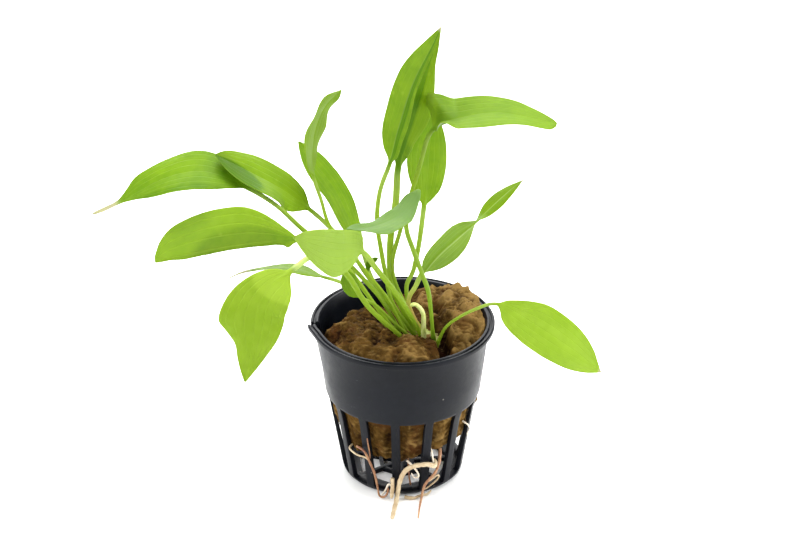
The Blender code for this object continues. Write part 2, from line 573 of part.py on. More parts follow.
def add_plug(group, cutters):
    """A ball pushed out into the shape of a plug: top, side and underside, with uneven fibre lumps."""
    shape = bmesh.new()
    bmesh.ops.create_uvsphere(shape, u_segments=22, v_segments=14, radius=1)
    for vert in shape.verts:
        polar = math.acos(max(-1.0, min(1.0, vert.co.z))) / math.pi
        turn = math.atan2(vert.co.y, vert.co.x)
        rough = noise.noise(Vector((vert.co.x * 2.3, vert.co.y * 2.3, polar * 9)))
        ragged = noise.noise(Vector((vert.co.x * 4.1, vert.co.y * 4.1, 7 + polar * 5)))
        foot = PLUG_FOOT + (PLUG_RIGHT_RISE if -1.4 < turn < 0.6 else 0)
        if polar < 0.4:
            radius = (inner_wall(PLUG_TOP - 2) - 1.4) * polar / 0.4
            x, y = radius * math.cos(turn), radius * math.sin(turn)
            height = plug_top(x, y) + 1.1 * rough + 0.8 * ragged
            if radius > 20.5:
                height = min(height - 1.2, POT_HEIGHT + 1.4)
        elif polar < 0.72:
            share = (polar - 0.4) / 0.32
            height = PLUG_TOP - 3 + share * (foot + 3 - PLUG_TOP + 3)
            radius = inner_wall(height) - GAP - 0.45 + 0.4 * rough
            x, y = radius * math.cos(turn), radius * math.sin(turn)
        else:
            share = (1 - polar) / 0.28
            height = foot + 1.6 * ragged
            radius = (inner_wall(foot) - 1.4) * share
            x, y = radius * math.cos(turn), radius * math.sin(turn)
        vert.co = Vector((x, y, height)) * MM
    mesh = bpy.data.meshes.new("rockwool_plug")
    shape.to_mesh(mesh)
    shape.free()
    plug = mesh_object("rockwool_plug", mesh, group, "wool")
    cut(plug, cutter_object("crown_pocket", ellipsoid(POCKET_AT, POCKET_RADII, 14, 8), cutters))
    cut(plug, cutter_object("plug_cleft", ellipsoid(CLEFT_AT, CLEFT_RADII, 10, 8), cutters))
    return plug


def add_crown(group):
    shape = ellipsoid(CROWN_AT, CROWN_RADII, 12, 6)
    mesh = bpy.data.meshes.new("crown")
    shape.to_mesh(mesh)
    shape.free()
    mesh.shade_smooth()
    return mesh_object("crown", mesh, group, "crown")


clear_scene()
MATERIALS = {name: material(name) for name in COLOURS}
parts = new_collection("potted_echinodorus")
cutters = new_collection("cutters")
add_pot(parts, cutters)
add_plug(parts, cutters)
add_crown(parts)
for leaf_name, leaf_shape in LEAVES.items():
    add_leaf(leaf_name, leaf_shape, parts)
for tube_name, tube_shape in TUBES.items():
    add_tube(tube_name, tube_shape, parts)
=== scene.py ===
import math
import random

import bmesh
import bpy
from mathutils import Matrix, Vector, noise


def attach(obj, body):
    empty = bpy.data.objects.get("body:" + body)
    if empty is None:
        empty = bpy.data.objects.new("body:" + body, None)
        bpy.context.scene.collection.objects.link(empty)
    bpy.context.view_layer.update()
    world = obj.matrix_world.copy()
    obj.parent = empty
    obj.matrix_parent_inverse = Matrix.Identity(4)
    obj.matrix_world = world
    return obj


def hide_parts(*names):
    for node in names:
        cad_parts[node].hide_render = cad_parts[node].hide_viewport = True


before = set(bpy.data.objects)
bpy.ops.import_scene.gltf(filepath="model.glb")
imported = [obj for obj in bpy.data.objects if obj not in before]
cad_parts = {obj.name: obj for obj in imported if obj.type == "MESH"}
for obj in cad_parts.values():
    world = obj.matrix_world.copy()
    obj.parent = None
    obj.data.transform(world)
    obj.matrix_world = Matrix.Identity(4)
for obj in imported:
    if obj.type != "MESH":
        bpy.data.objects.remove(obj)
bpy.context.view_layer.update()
mm = 0.001
print("frame loaded:", len(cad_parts), "nodes")


# Camera, lights and floor

view = {
    "place": (0.0, -0.5227, 0.3425),
    "aim": (-0.0008, 0.0072, 0.061),
    "lens": 96,
    "sensor": 36,
}

studio = {
    # name: place, aim, size, watts
    "overhead": ((0.05, 0.1, 0.75), (0, 0, 0.03), 0.6, 11.0),
    "leftWindow": ((-0.7, -0.25, 0.45), (0, 0, 0.06), 0.5, 8.0),
    "rightWindow": ((0.75, -0.1, 0.35), (0, 0, 0.04), 0.45, 8.0),
    "backGlow": ((-0.1, 0.8, 0.4), (0, 0, 0.08), 0.7, 8.0),
}


def lookAt(place, aim):
    return (Vector(aim) - Vector(place)).to_track_quat("-Z", "Y").to_euler()


def makeCamera():
    bpy.ops.object.camera_add(location=view["place"], rotation=lookAt(view["place"], view["aim"]))
    camera = bpy.context.object
    camera.data.lens = view["lens"]
    camera.data.sensor_width = view["sensor"]
    bpy.context.scene.camera = camera


def makeLights():
    for name, (place, aim, size, watts) in studio.items():
        bpy.ops.object.light_add(type="AREA", location=place, rotation=lookAt(place, aim))
        lamp = bpy.context.object
        lamp.name = name
        lamp.data.size = size
        lamp.data.energy = watts
        lamp.visible_camera = False
    world = bpy.data.worlds.new("paleStudio")
    world.use_nodes = True
    background = world.node_tree.nodes["Background"]
    background.inputs["Color"].default_value = (1.0, 1.0, 1.0, 1)
    background.inputs["Strength"].default_value = 0.5
    bpy.context.scene.world = world
    bpy.context.scene.view_settings.view_transform = "Standard"


def makeFloor():
    bpy.ops.mesh.primitive_plane_add(size=6, location=(0, 0, 0))
    floor = bpy.context.object
    floor.name = "floor"
    paint = bpy.data.materials.new("paleFloor")
    paint.use_nodes = True
    shader = paint.node_tree.nodes["Principled BSDF"]
    shader.inputs["Base Color"].default_value = (0.93, 0.93, 0.93, 1)
    shader.inputs["Roughness"].default_value = 0.7
    floor.data.materials.append(paint)


bpy.ops.object.select_all(action="DESELECT")
makeCamera()
makeLights()
makeFloor()
print("camera, lights and floor ready")


# Shader helpers and groups

def feed(tree, socket, value):
    # Links another node's socket into this one, or sets a constant on it.
    if isinstance(value, bpy.types.NodeSocket):
        tree.links.new(value, socket)
    else:
        socket.default_value = value


def addNode(tree, kind, inputs=None, **settings):
    node = tree.nodes.new("ShaderNode" + kind)
    for name, value in settings.items():
        setattr(node, name, value)
    for name, value in (inputs or {}).items():
        feed(tree, node.inputs[name], value)
    return node


def mixColours(tree, factor, first, second):
    node = addNode(tree, "Mix", data_type="RGBA")
    feed(tree, node.inputs[0], factor)
    for index, colour in ((6, first), (7, second)):
        feed(tree, node.inputs[index], (*colour, 1) if isinstance(colour, tuple) else colour)
    return node.outputs[2]


def sumOf(tree, operation, first, second=0.0):
    node = addNode(tree, "Math", operation=operation)
    feed(tree, node.inputs[0], first)
    feed(tree, node.inputs[1], second)
    return node.outputs[0]


def remap(tree, value, low, high, start=0.0, end=1.0):
    limits = {"Value": value, "From Min": low, "From Max": high, "To Min": start, "To Max": end}
    return addNode(tree, "MapRange", limits, interpolation_type="SMOOTHSTEP").outputs["Result"]


def newGroup(name, takes, gives):
    # A group with these inputs and one output, a number.
    tree = bpy.data.node_groups.new(name, "ShaderNodeTree")
    for title, (kind, value) in takes.items():
        socket = tree.interface.new_socket(title, in_out="INPUT", socket_type="NodeSocket" + kind)
        socket.default_value = value
    tree.interface.new_socket(gives, in_out="OUTPUT", socket_type="NodeSocketFloat")
    return tree, tree.nodes.new("NodeGroupInput").outputs, tree.nodes.new("NodeGroupOutput").inputs[gives]


def useGroup(tree, group, **values):
    return addNode(tree, "Group", values, node_tree=group).outputs[0]


def mottleGroup():
    # Soft cloudy patches with finer ones in them, on the piece's own coordinates.
    tree, takes, gives = newGroup("mottle", {"Size": ("Float", 300.0), "Fine": ("Float", 6.0)}, "Amount")
    place = addNode(tree, "TexCoord").outputs["Object"]
    broad = addNode(tree, "TexNoise", {"Vector": place, "Scale": takes["Size"], "Detail": 3.0})
    smaller = sumOf(tree, "MULTIPLY", takes["Size"], takes["Fine"])
    fine = addNode(tree, "TexNoise", {"Vector": place, "Scale": smaller, "Detail": 4.0})
    both = sumOf(tree, "ADD", sumOf(tree, "MULTIPLY", broad.outputs["Fac"], 0.68),
                 sumOf(tree, "MULTIPLY", fine.outputs["Fac"], 0.32))
    tree.links.new(remap(tree, both, 0.32, 0.68), gives)
    return tree


def specksGroup():
    # Small scattered spots, as a mask.
    tree, takes, gives = newGroup("specks", {"Size": ("Float", 900.0), "Share": ("Float", 0.1)}, "Mask")
    place = addNode(tree, "TexCoord").outputs["Object"]
    cells = addNode(tree, "TexVoronoi", {"Vector": place, "Scale": takes["Size"]})
    chosen = addNode(tree, "SeparateColor", {"Color": cells.outputs["Color"]}).outputs[0]
    few = sumOf(tree, "LESS_THAN", chosen, takes["Share"])
    spot = remap(tree, cells.outputs["Distance"], 0.34, 0.12)
    tree.links.new(sumOf(tree, "MULTIPLY", few, spot), gives)
    return tree


def grainGroup():
    # Fine relief for bumps, stretched by the Stretch vector.
    tree, takes, gives = newGroup(
        "grain", {"Size": ("Float", 1500.0), "Stretch": ("Vector", (1.0, 1.0, 1.0))}, "Height")
    place = addNode(tree, "TexCoord").outputs["Object"]
    drawn = addNode(tree, "Mapping", {"Vector": place, "Scale": takes["Stretch"]}).outputs["Vector"]
    coarse = addNode(tree, "TexNoise", {"Vector": drawn, "Scale": takes["Size"], "Detail": 5.0,
                                        "Roughness": 0.65})
    tree.links.new(coarse.outputs["Fac"], gives)
    return tree


mottle = mottleGroup()
specks = specksGroup()
grain = grainGroup()


# Materials

def newMaterial(name, roughness, specular):
    made = bpy.data.materials.new(name)
    made.use_nodes = True
    tree = made.node_tree
    shader = tree.nodes["Principled BSDF"]
    shader.inputs["Roughness"].default_value = roughness
    shader.inputs["Specular IOR Level"].default_value = specular
    return made, tree, shader


def readMark(tree, name):
    # The three parts of a vector that the leaf's mesh carries.
    mark = addNode(tree, "Attribute", attribute_name=name).outputs["Vector"]
    return addNode(tree, "SeparateXYZ", {"Vector": mark}).outputs


def addBump(tree, shader, height, distance, strength=1.0):
    bump = addNode(tree, "Bump", {"Height": height, "Distance": distance, "Strength": strength})
    tree.links.new(bump.outputs["Normal"], shader.inputs["Normal"])
    return bump.outputs["Normal"]


leafGreens = {
    "deep": (0.086, 0.19, 0.004),
    "fresh": (0.182, 0.30, 0.012),
    "pale": (0.32, 0.45, 0.045),
    # painted sheen: reflected light painted into the blade's colour as a grey, pale green
    "paintedSheen": (0.17, 0.26, 0.105),
    "stalk": (0.22, 0.33, 0.025),
    "paleStalk": (0.62, 0.70, 0.30),
    "withered": (0.42, 0.38, 0.24),
    "blush": (0.56, 0.36, 0.13),
    "throughDeep": (0.19, 0.36, 0.004),
    "throughFresh": (0.50, 0.63, 0.014),
}


def leafMaterial():
    # leafPlace: share, place across, underside. leafTint: tone, withered, blush. leafFinish: painted sheen on
    # the blade and a paler neck on the stalk, rib, painted shade (painted light where it is negative).
    made, tree, shader = newMaterial("leafGreen", roughness=0.44, specular=0.12)
    place = readMark(tree, "leafPlace")
    tint = readMark(tree, "leafTint")
    finish = readMark(tree, "leafFinish")
    sheenAndPaleNeck = finish["X"]
    cloud = useGroup(tree, mottle, Size=120.0, Fine=4.0)
    shade = sumOf(tree, "ADD", tint["X"], sumOf(tree, "MULTIPLY", cloud, 0.26))
    # leafFinish Z is painted shade, and painted light where it is negative
    shade = sumOf(tree, "SUBTRACT", shade, finish["Z"])
    fresh = remap(tree, shade, -0.35, 0.75)
    colour = mixColours(tree, fresh, leafGreens["deep"], leafGreens["fresh"])
    colour = mixColours(tree, remap(tree, shade, 0.55, 1.6), colour, leafGreens["pale"])
    # painted sheen on the blade: the grey, pale look of light reflected off its waxy face
    colour = mixColours(tree, sheenAndPaleNeck, colour, leafGreens["paintedSheen"])

    # the veins run from the neck to the tip, closer to each other where the blade is narrow
    across = sumOf(tree, "ABSOLUTE", place["Y"])
    veins = 0.0
    for at in (0.0, 0.3, 0.56, 0.8):
        near = remap(tree, sumOf(tree, "ABSOLUTE", sumOf(tree, "SUBTRACT", across, at)), 0.035, 0.004)
        veins = sumOf(tree, "MAXIMUM", veins, near)
    veins = sumOf(tree, "MULTIPLY", veins, remap(tree, place["X"], -0.02, 0.12))
    margin = remap(tree, across, 0.93, 1.0, 0.0, 0.35)
    paler = sumOf(tree, "MAXIMUM", sumOf(tree, "MULTIPLY", veins, 0.16), margin)
    colour = mixColours(tree, paler, colour, leafGreens["pale"])
    rib = sumOf(tree, "MULTIPLY", remap(tree, across, 0.08, 0.02), finish["Y"])
    colour = mixColours(tree, rib, colour, leafGreens["paleStalk"])
    # undersides are paler: partly their own colour, partly painted sheen
    under = sumOf(tree, "MULTIPLY", place["Z"], 0.18)
    colour = mixColours(tree, under, colour, leafGreens["paintedSheen"])
    stalk = mixColours(tree, sheenAndPaleNeck, leafGreens["stalk"], leafGreens["paleStalk"])
    colour = mixColours(tree, remap(tree, place["X"], 0.03, -0.10), colour, stalk)
    colour = mixColours(tree, tint["Z"], colour, leafGreens["blush"])
    pits = useGroup(tree, specks, Size=420.0, Share=0.03)
    colour = mixColours(tree, sumOf(tree, "MULTIPLY", pits, 0.35), colour, leafGreens["pale"])
    colour = mixColours(tree, tint["Y"], colour, leafGreens["withered"])
    tree.links.new(colour, shader.inputs["Base Color"])

    fine = useGroup(tree, grain, Size=2600.0)
    relief = sumOf(tree, "SUBTRACT", sumOf(tree, "MULTIPLY", fine, 0.35), veins)
    normal = addBump(tree, shader, relief, 0.00006, 0.8)
    through = addNode(tree, "BsdfTranslucent", {"Normal": normal})
    glow = mixColours(tree, fresh, leafGreens["throughDeep"], leafGreens["throughFresh"])
    tree.links.new(mixColours(tree, 0.5, colour, glow), through.inputs["Color"])
    both = addNode(tree, "MixShader", {"Fac": 0.5})
    tree.links.new(shader.outputs["BSDF"], both.inputs[1])
    tree.links.new(through.outputs["BSDF"], both.inputs[2])
    tree.links.new(both.outputs["Shader"], tree.nodes["Material Output"].inputs["Surface"])
    return made


def rootMaterial(name, pale, stained, roughness=0.5):
    made, tree, shader = newMaterial(name, roughness, specular=0.3)
    patches = useGroup(tree, mottle, Size=330.0, Fine=5.0)
    colour = mixColours(tree, patches, stained, pale)
    specked = useGroup(tree, specks, Size=1500.0, Share=0.14)
    colour = mixColours(tree, sumOf(tree, "MULTIPLY", specked, 0.5), colour, stained)
    tree.links.new(colour, shader.inputs["Base Color"])
    ridges = useGroup(tree, grain, Size=1800.0, Stretch=(1, 1, 0.4))
    addBump(tree, shader, ridges, 0.00018)
    return made


def woolMaterial():
    made, tree, shader = newMaterial("stainedWool", roughness=0.65, specular=0.012)
    relief = addNode(tree, "Attribute", attribute_name="relief").outputs["Fac"]
    patches = useGroup(tree, mottle, Size=150.0, Fine=4.5)
    colour = mixColours(tree, patches, (0.026, 0.012, 0.002), (0.095, 0.051, 0.012))
    rust = useGroup(tree, mottle, Size=75.0, Fine=2.5)
    colour = mixColours(tree, remap(tree, rust, 0.5, 1.0, 0.0, 0.75), colour, (0.042, 0.013, 0.004))
    # painted shade where the relief is low (between the clumps, in the cleft and the hollows), painted
    # highlight where it is high
    colour = mixColours(tree, remap(tree, relief, 0.08, -0.75), colour, (0.010, 0.0035, 0.0015))
    colour = mixColours(tree, remap(tree, relief, 0.2, 1.0, 0.0, 0.55), colour, (0.25, 0.155, 0.05))
    hairs = useGroup(tree, grain, Size=1100.0, Stretch=(0.3, 1, 0.45))
    colour = mixColours(tree, remap(tree, hairs, 0.52, 0.8, 0.0, 0.4), colour, (0.28, 0.185, 0.075))
    tree.links.new(colour, shader.inputs["Base Color"])
    addBump(tree, shader, hairs, 0.00025)
    return made


def fibreMaterial():
    made, tree, shader = newMaterial("woolFibre", roughness=0.6, specular=0.1)
    tone = useGroup(tree, mottle, Size=400.0, Fine=3.0)
    colour = mixColours(tree, tone, (0.03, 0.014, 0.003), (0.16, 0.095, 0.028))
    tree.links.new(colour, shader.inputs["Base Color"])
    return made


def potMaterial():
    made, tree, shader = newMaterial("satinBlackPlastic", roughness=0.4, specular=0.1)
    haze = useGroup(tree, mottle, Size=60.0, Fine=7.0)
    colour = mixColours(tree, haze, (0.0025, 0.0032, 0.005), (0.005, 0.006, 0.009))
    dust = useGroup(tree, specks, Size=900.0, Share=0.005)
    colour = mixColours(tree, sumOf(tree, "MULTIPLY", dust, 0.45), colour, (0.25, 0.23, 0.2))

    # fine scuffs: short pale lines round the wall
    scuffs = useGroup(tree, grain, Size=260.0, Stretch=(1.0, 1.0, 9.0))
    worn = sumOf(tree, "MULTIPLY", remap(tree, scuffs, 0.66, 0.76), remap(tree, haze, 0.5, 0.95))
    colour = mixColours(tree, sumOf(tree, "MULTIPLY", worn, 0.35), colour, (0.22, 0.23, 0.25))
    tree.links.new(colour, shader.inputs["Base Color"])
    sheen = sumOf(tree, "ADD", remap(tree, haze, 0.0, 1.0, 0.34, 0.46), sumOf(tree, "MULTIPLY", worn, 0.2))
    tree.links.new(sheen, shader.inputs["Roughness"])
    moulded = useGroup(tree, grain, Size=900.0)
    addBump(tree, shader, moulded, 0.00005, 0.6)
    return made


leafGreen = leafMaterial()
rootPale = rootMaterial("paleRoot", (0.56, 0.46, 0.30), (0.38, 0.27, 0.15))
rootOrange = rootMaterial("orangeRoot", (0.45, 0.26, 0.14), (0.24, 0.10, 0.05))
rootBrown = rootMaterial("brownRoot", (0.36, 0.19, 0.09), (0.16, 0.055, 0.03))
rootWhite = rootMaterial("whiteRoot", (0.86, 0.80, 0.68), (0.66, 0.54, 0.40))
oldStalk = rootMaterial("bleachedStalk", (0.50, 0.54, 0.20), (0.34, 0.40, 0.08), 0.45)
crownFlesh = rootMaterial("crownFlesh", (0.22, 0.26, 0.05), (0.14, 0.10, 0.03))
stainedWool = woolMaterial()
woolFibre = fibreMaterial()
blackPlastic = potMaterial()
print("materials ready")


# Shaping helpers

def smoothRoute(points, spacing=0.5, passes=12):
    # A curve through the points with its corners eased, as close places along it.
    knots = [Vector(p) for p in points]
    knots = [2 * knots[0] - knots[1], *knots, 2 * knots[-1] - knots[-2]]
    route = []
    for a, b, c, d in zip(knots, knots[1:], knots[2:], knots[3:]):
        steps = max(2, round((c - b).length / spacing))
        for step in range(steps):
            t = step / steps
            route.append(0.5 * (2 * b + (c - a) * t + (2 * a - 5 * b + 4 * c - d) * t * t
                                + (3 * b - a - 3 * c + d) * t ** 3))
    route.append(knots[-2])
    for _ in range(passes):
        route = [route[0], *((a + 2 * b + c) / 4 for a, b, c in zip(route, route[1:], route[2:])), route[-1]]
    return route


def placesAlong(route, shares):
    # Points at these shares of the route's length, each with the route's direction there.
    lengths = [0.0]
    for a, b in zip(route, route[1:]):
        lengths.append(lengths[-1] + (b - a).length)
    places = []
    i = 0
    for share in shares:
        wanted = share * lengths[-1]
        while i < len(route) - 2 and lengths[i + 1] < wanted:
            i += 1
        part = (wanted - lengths[i]) / (lengths[i + 1] - lengths[i])
        before, after = route[max(i - 2, 0)], route[min(i + 3, len(route) - 1)]
        places.append((route[i].lerp(route[i + 1], part), (after - before).normalized()))
    return places


def ease(value, low=0.0, high=1.0):
    value = min(max((value - low) / (high - low), 0.0), 1.0)
    return value * value * (3 - 2 * value)


def alongKnots(knots, share):
    # The values after each knot's share, eased from one knot to the next.
    if share <= knots[0][0]:
        return Vector(knots[0][1:])
    for first, last in zip(knots, knots[1:]):
        if share <= last[0]:
            return Vector(first[1:]).lerp(Vector(last[1:]), ease(share, first[0], last[0]))
    return Vector(knots[-1][1:])


def pickOnly(*pieces):
    # Only these are picked, and the first one is active.
    bpy.ops.object.select_all(action="DESELECT")
    for piece in pieces:
        piece.select_set(True)
    bpy.context.view_layer.objects.active = pieces[0]


def placedCopy(piece, place):
    # A copy of the piece with its own mesh, moved by the matrix.
    copy = piece.copy()
    copy.data = piece.data.copy()
    copy.data.transform(place)
    bpy.context.collection.objects.link(copy)
    return copy


def joinCopies(first, copies):
    # One piece from all the copies, without the one they were copied from.
    bpy.data.objects.remove(first)
    pickOnly(*copies)
    bpy.ops.object.join()
    return bpy.context.object


def editLongEdges(piece, axis):
    # Into edit mode, with only the edges picked that run along this axis.
    bpy.ops.object.mode_set(mode="EDIT")
    bpy.ops.mesh.select_mode(type="EDGE")
    bpy.ops.mesh.select_all(action="DESELECT")
    shape = bmesh.from_edit_mesh(piece.data)
    for edge in shape.edges:
        first, last = edge.verts
        edge.select = abs(first.co[axis] - last.co[axis]) > 1 * mm
    bmesh.update_edit_mesh(piece.data)


def leaveEdges():
    bpy.ops.mesh.select_mode(type="VERT")
    bpy.ops.object.mode_set(mode="OBJECT")


def closeMesh():
    # In edit mode: fills what is open and turns every face outwards.
    bpy.ops.mesh.fill_holes(sides=0)
    bpy.ops.mesh.select_all(action="SELECT")
    bpy.ops.mesh.normals_make_consistent(inside=False)
    bpy.ops.object.mode_set(mode="OBJECT")


def rolledGrid(name, rings, marks=None):
    # A flat grid rolled up: each row of it becomes one ring, and the seam and the ends are closed.
    around = len(rings[0])
    bpy.ops.object.select_all(action="DESELECT")
    bpy.ops.mesh.primitive_grid_add(x_subdivisions=len(rings) - 1, y_subdivisions=around, size=2)
    piece = bpy.context.object
    piece.name = name
    cells = []
    for vert in piece.data.vertices:
        row = round((vert.co.x + 1) / 2 * (len(rings) - 1))
        column = round((vert.co.y + 1) / 2 * around) % around
        cells.append((row, column))
        vert.co = rings[row][column] * mm
    for title, values in (marks or {}).items():
        layer = piece.data.attributes.new(title, "FLOAT_VECTOR", "POINT")
        for item, (row, column) in zip(layer.data, cells):
            item.vector = values[row][column]
    pickOnly(piece)
    bpy.ops.object.mode_set(mode="EDIT")
    bpy.ops.mesh.select_all(action="SELECT")
    bpy.ops.mesh.remove_doubles(threshold=0.0000005)
    closeMesh()
    bpy.ops.object.shade_smooth()
    return piece


def dress(piece, material, node=None):
    piece.data.materials.clear()
    piece.data.materials.append(material)
    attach(piece, "root")
    if node:
        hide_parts(node)
    return piece


# Leaves: each is one grown piece, a round stalk that widens into a blade

leafForm = {
    "stations": (0, 0.035, 0.08, 0.14, 0.22, 0.32, 0.43, 0.54, 0.65, 0.76, 0.86, 0.94, 0.985, 1),
    "stalkRows": 40,
    "bladeRows": 80,
    "steps": 4,                 # from one station to the next
    "foot": 45.3,               # where the stalks start in the crown
    "sheath": 0.35,             # how much wider a stalk is at its foot
    "sheathReach": 5,
    "footSwell": 0.25,          # of the radius
    "stalkThins": 0.22,         # of the radius, from 30 mm above the foot down to 8 mm
    "thinsOver": (30, 8),
    "stalkKnobs": (0.06, 0.25),  # of the radius, and the noise's scale
    "skin": 0.15,               # half the blade's thickness
    "skinThins": 0.3,           # of the skin, up to the tip
    "ribThins": 0.75,           # of the radius, up to the tip
    "ribWidth": 0.8,
    "ribAbove": 0.35,           # of what stands out below
    "flattens": (-0.02, 0.07),  # blade shares from the round stalk to the flat blade
    "bends": (0.0, 0.2),        # blade shares over which lift, folds and wave begin
    "droop": 10,                # degrees, at the margin
    "waveRise": 2.5,            # how steeply a wave grows towards the margin
    "waveShift": 0.3,           # from the left half's waves to the right half's
    "swell": (0.25, 0.09),      # mm, and the noise's scale
    "swellOver": (0.05, 0.3),
    "toneDrift": (0.25, 0.06),  # and the noise's scale
    "withersOver": 0.03,
    "blushAt": (9, 7),          # mm from the foot, and reach
    "neckPales": (-0.45, -0.05),
    "stalkFrost": 0.2,
}

footHeight = 46.8                   # where a stalk comes out of the crown
toViewer = (0, 0.0, -0.87, 0.49)    # an upper face turned to the front
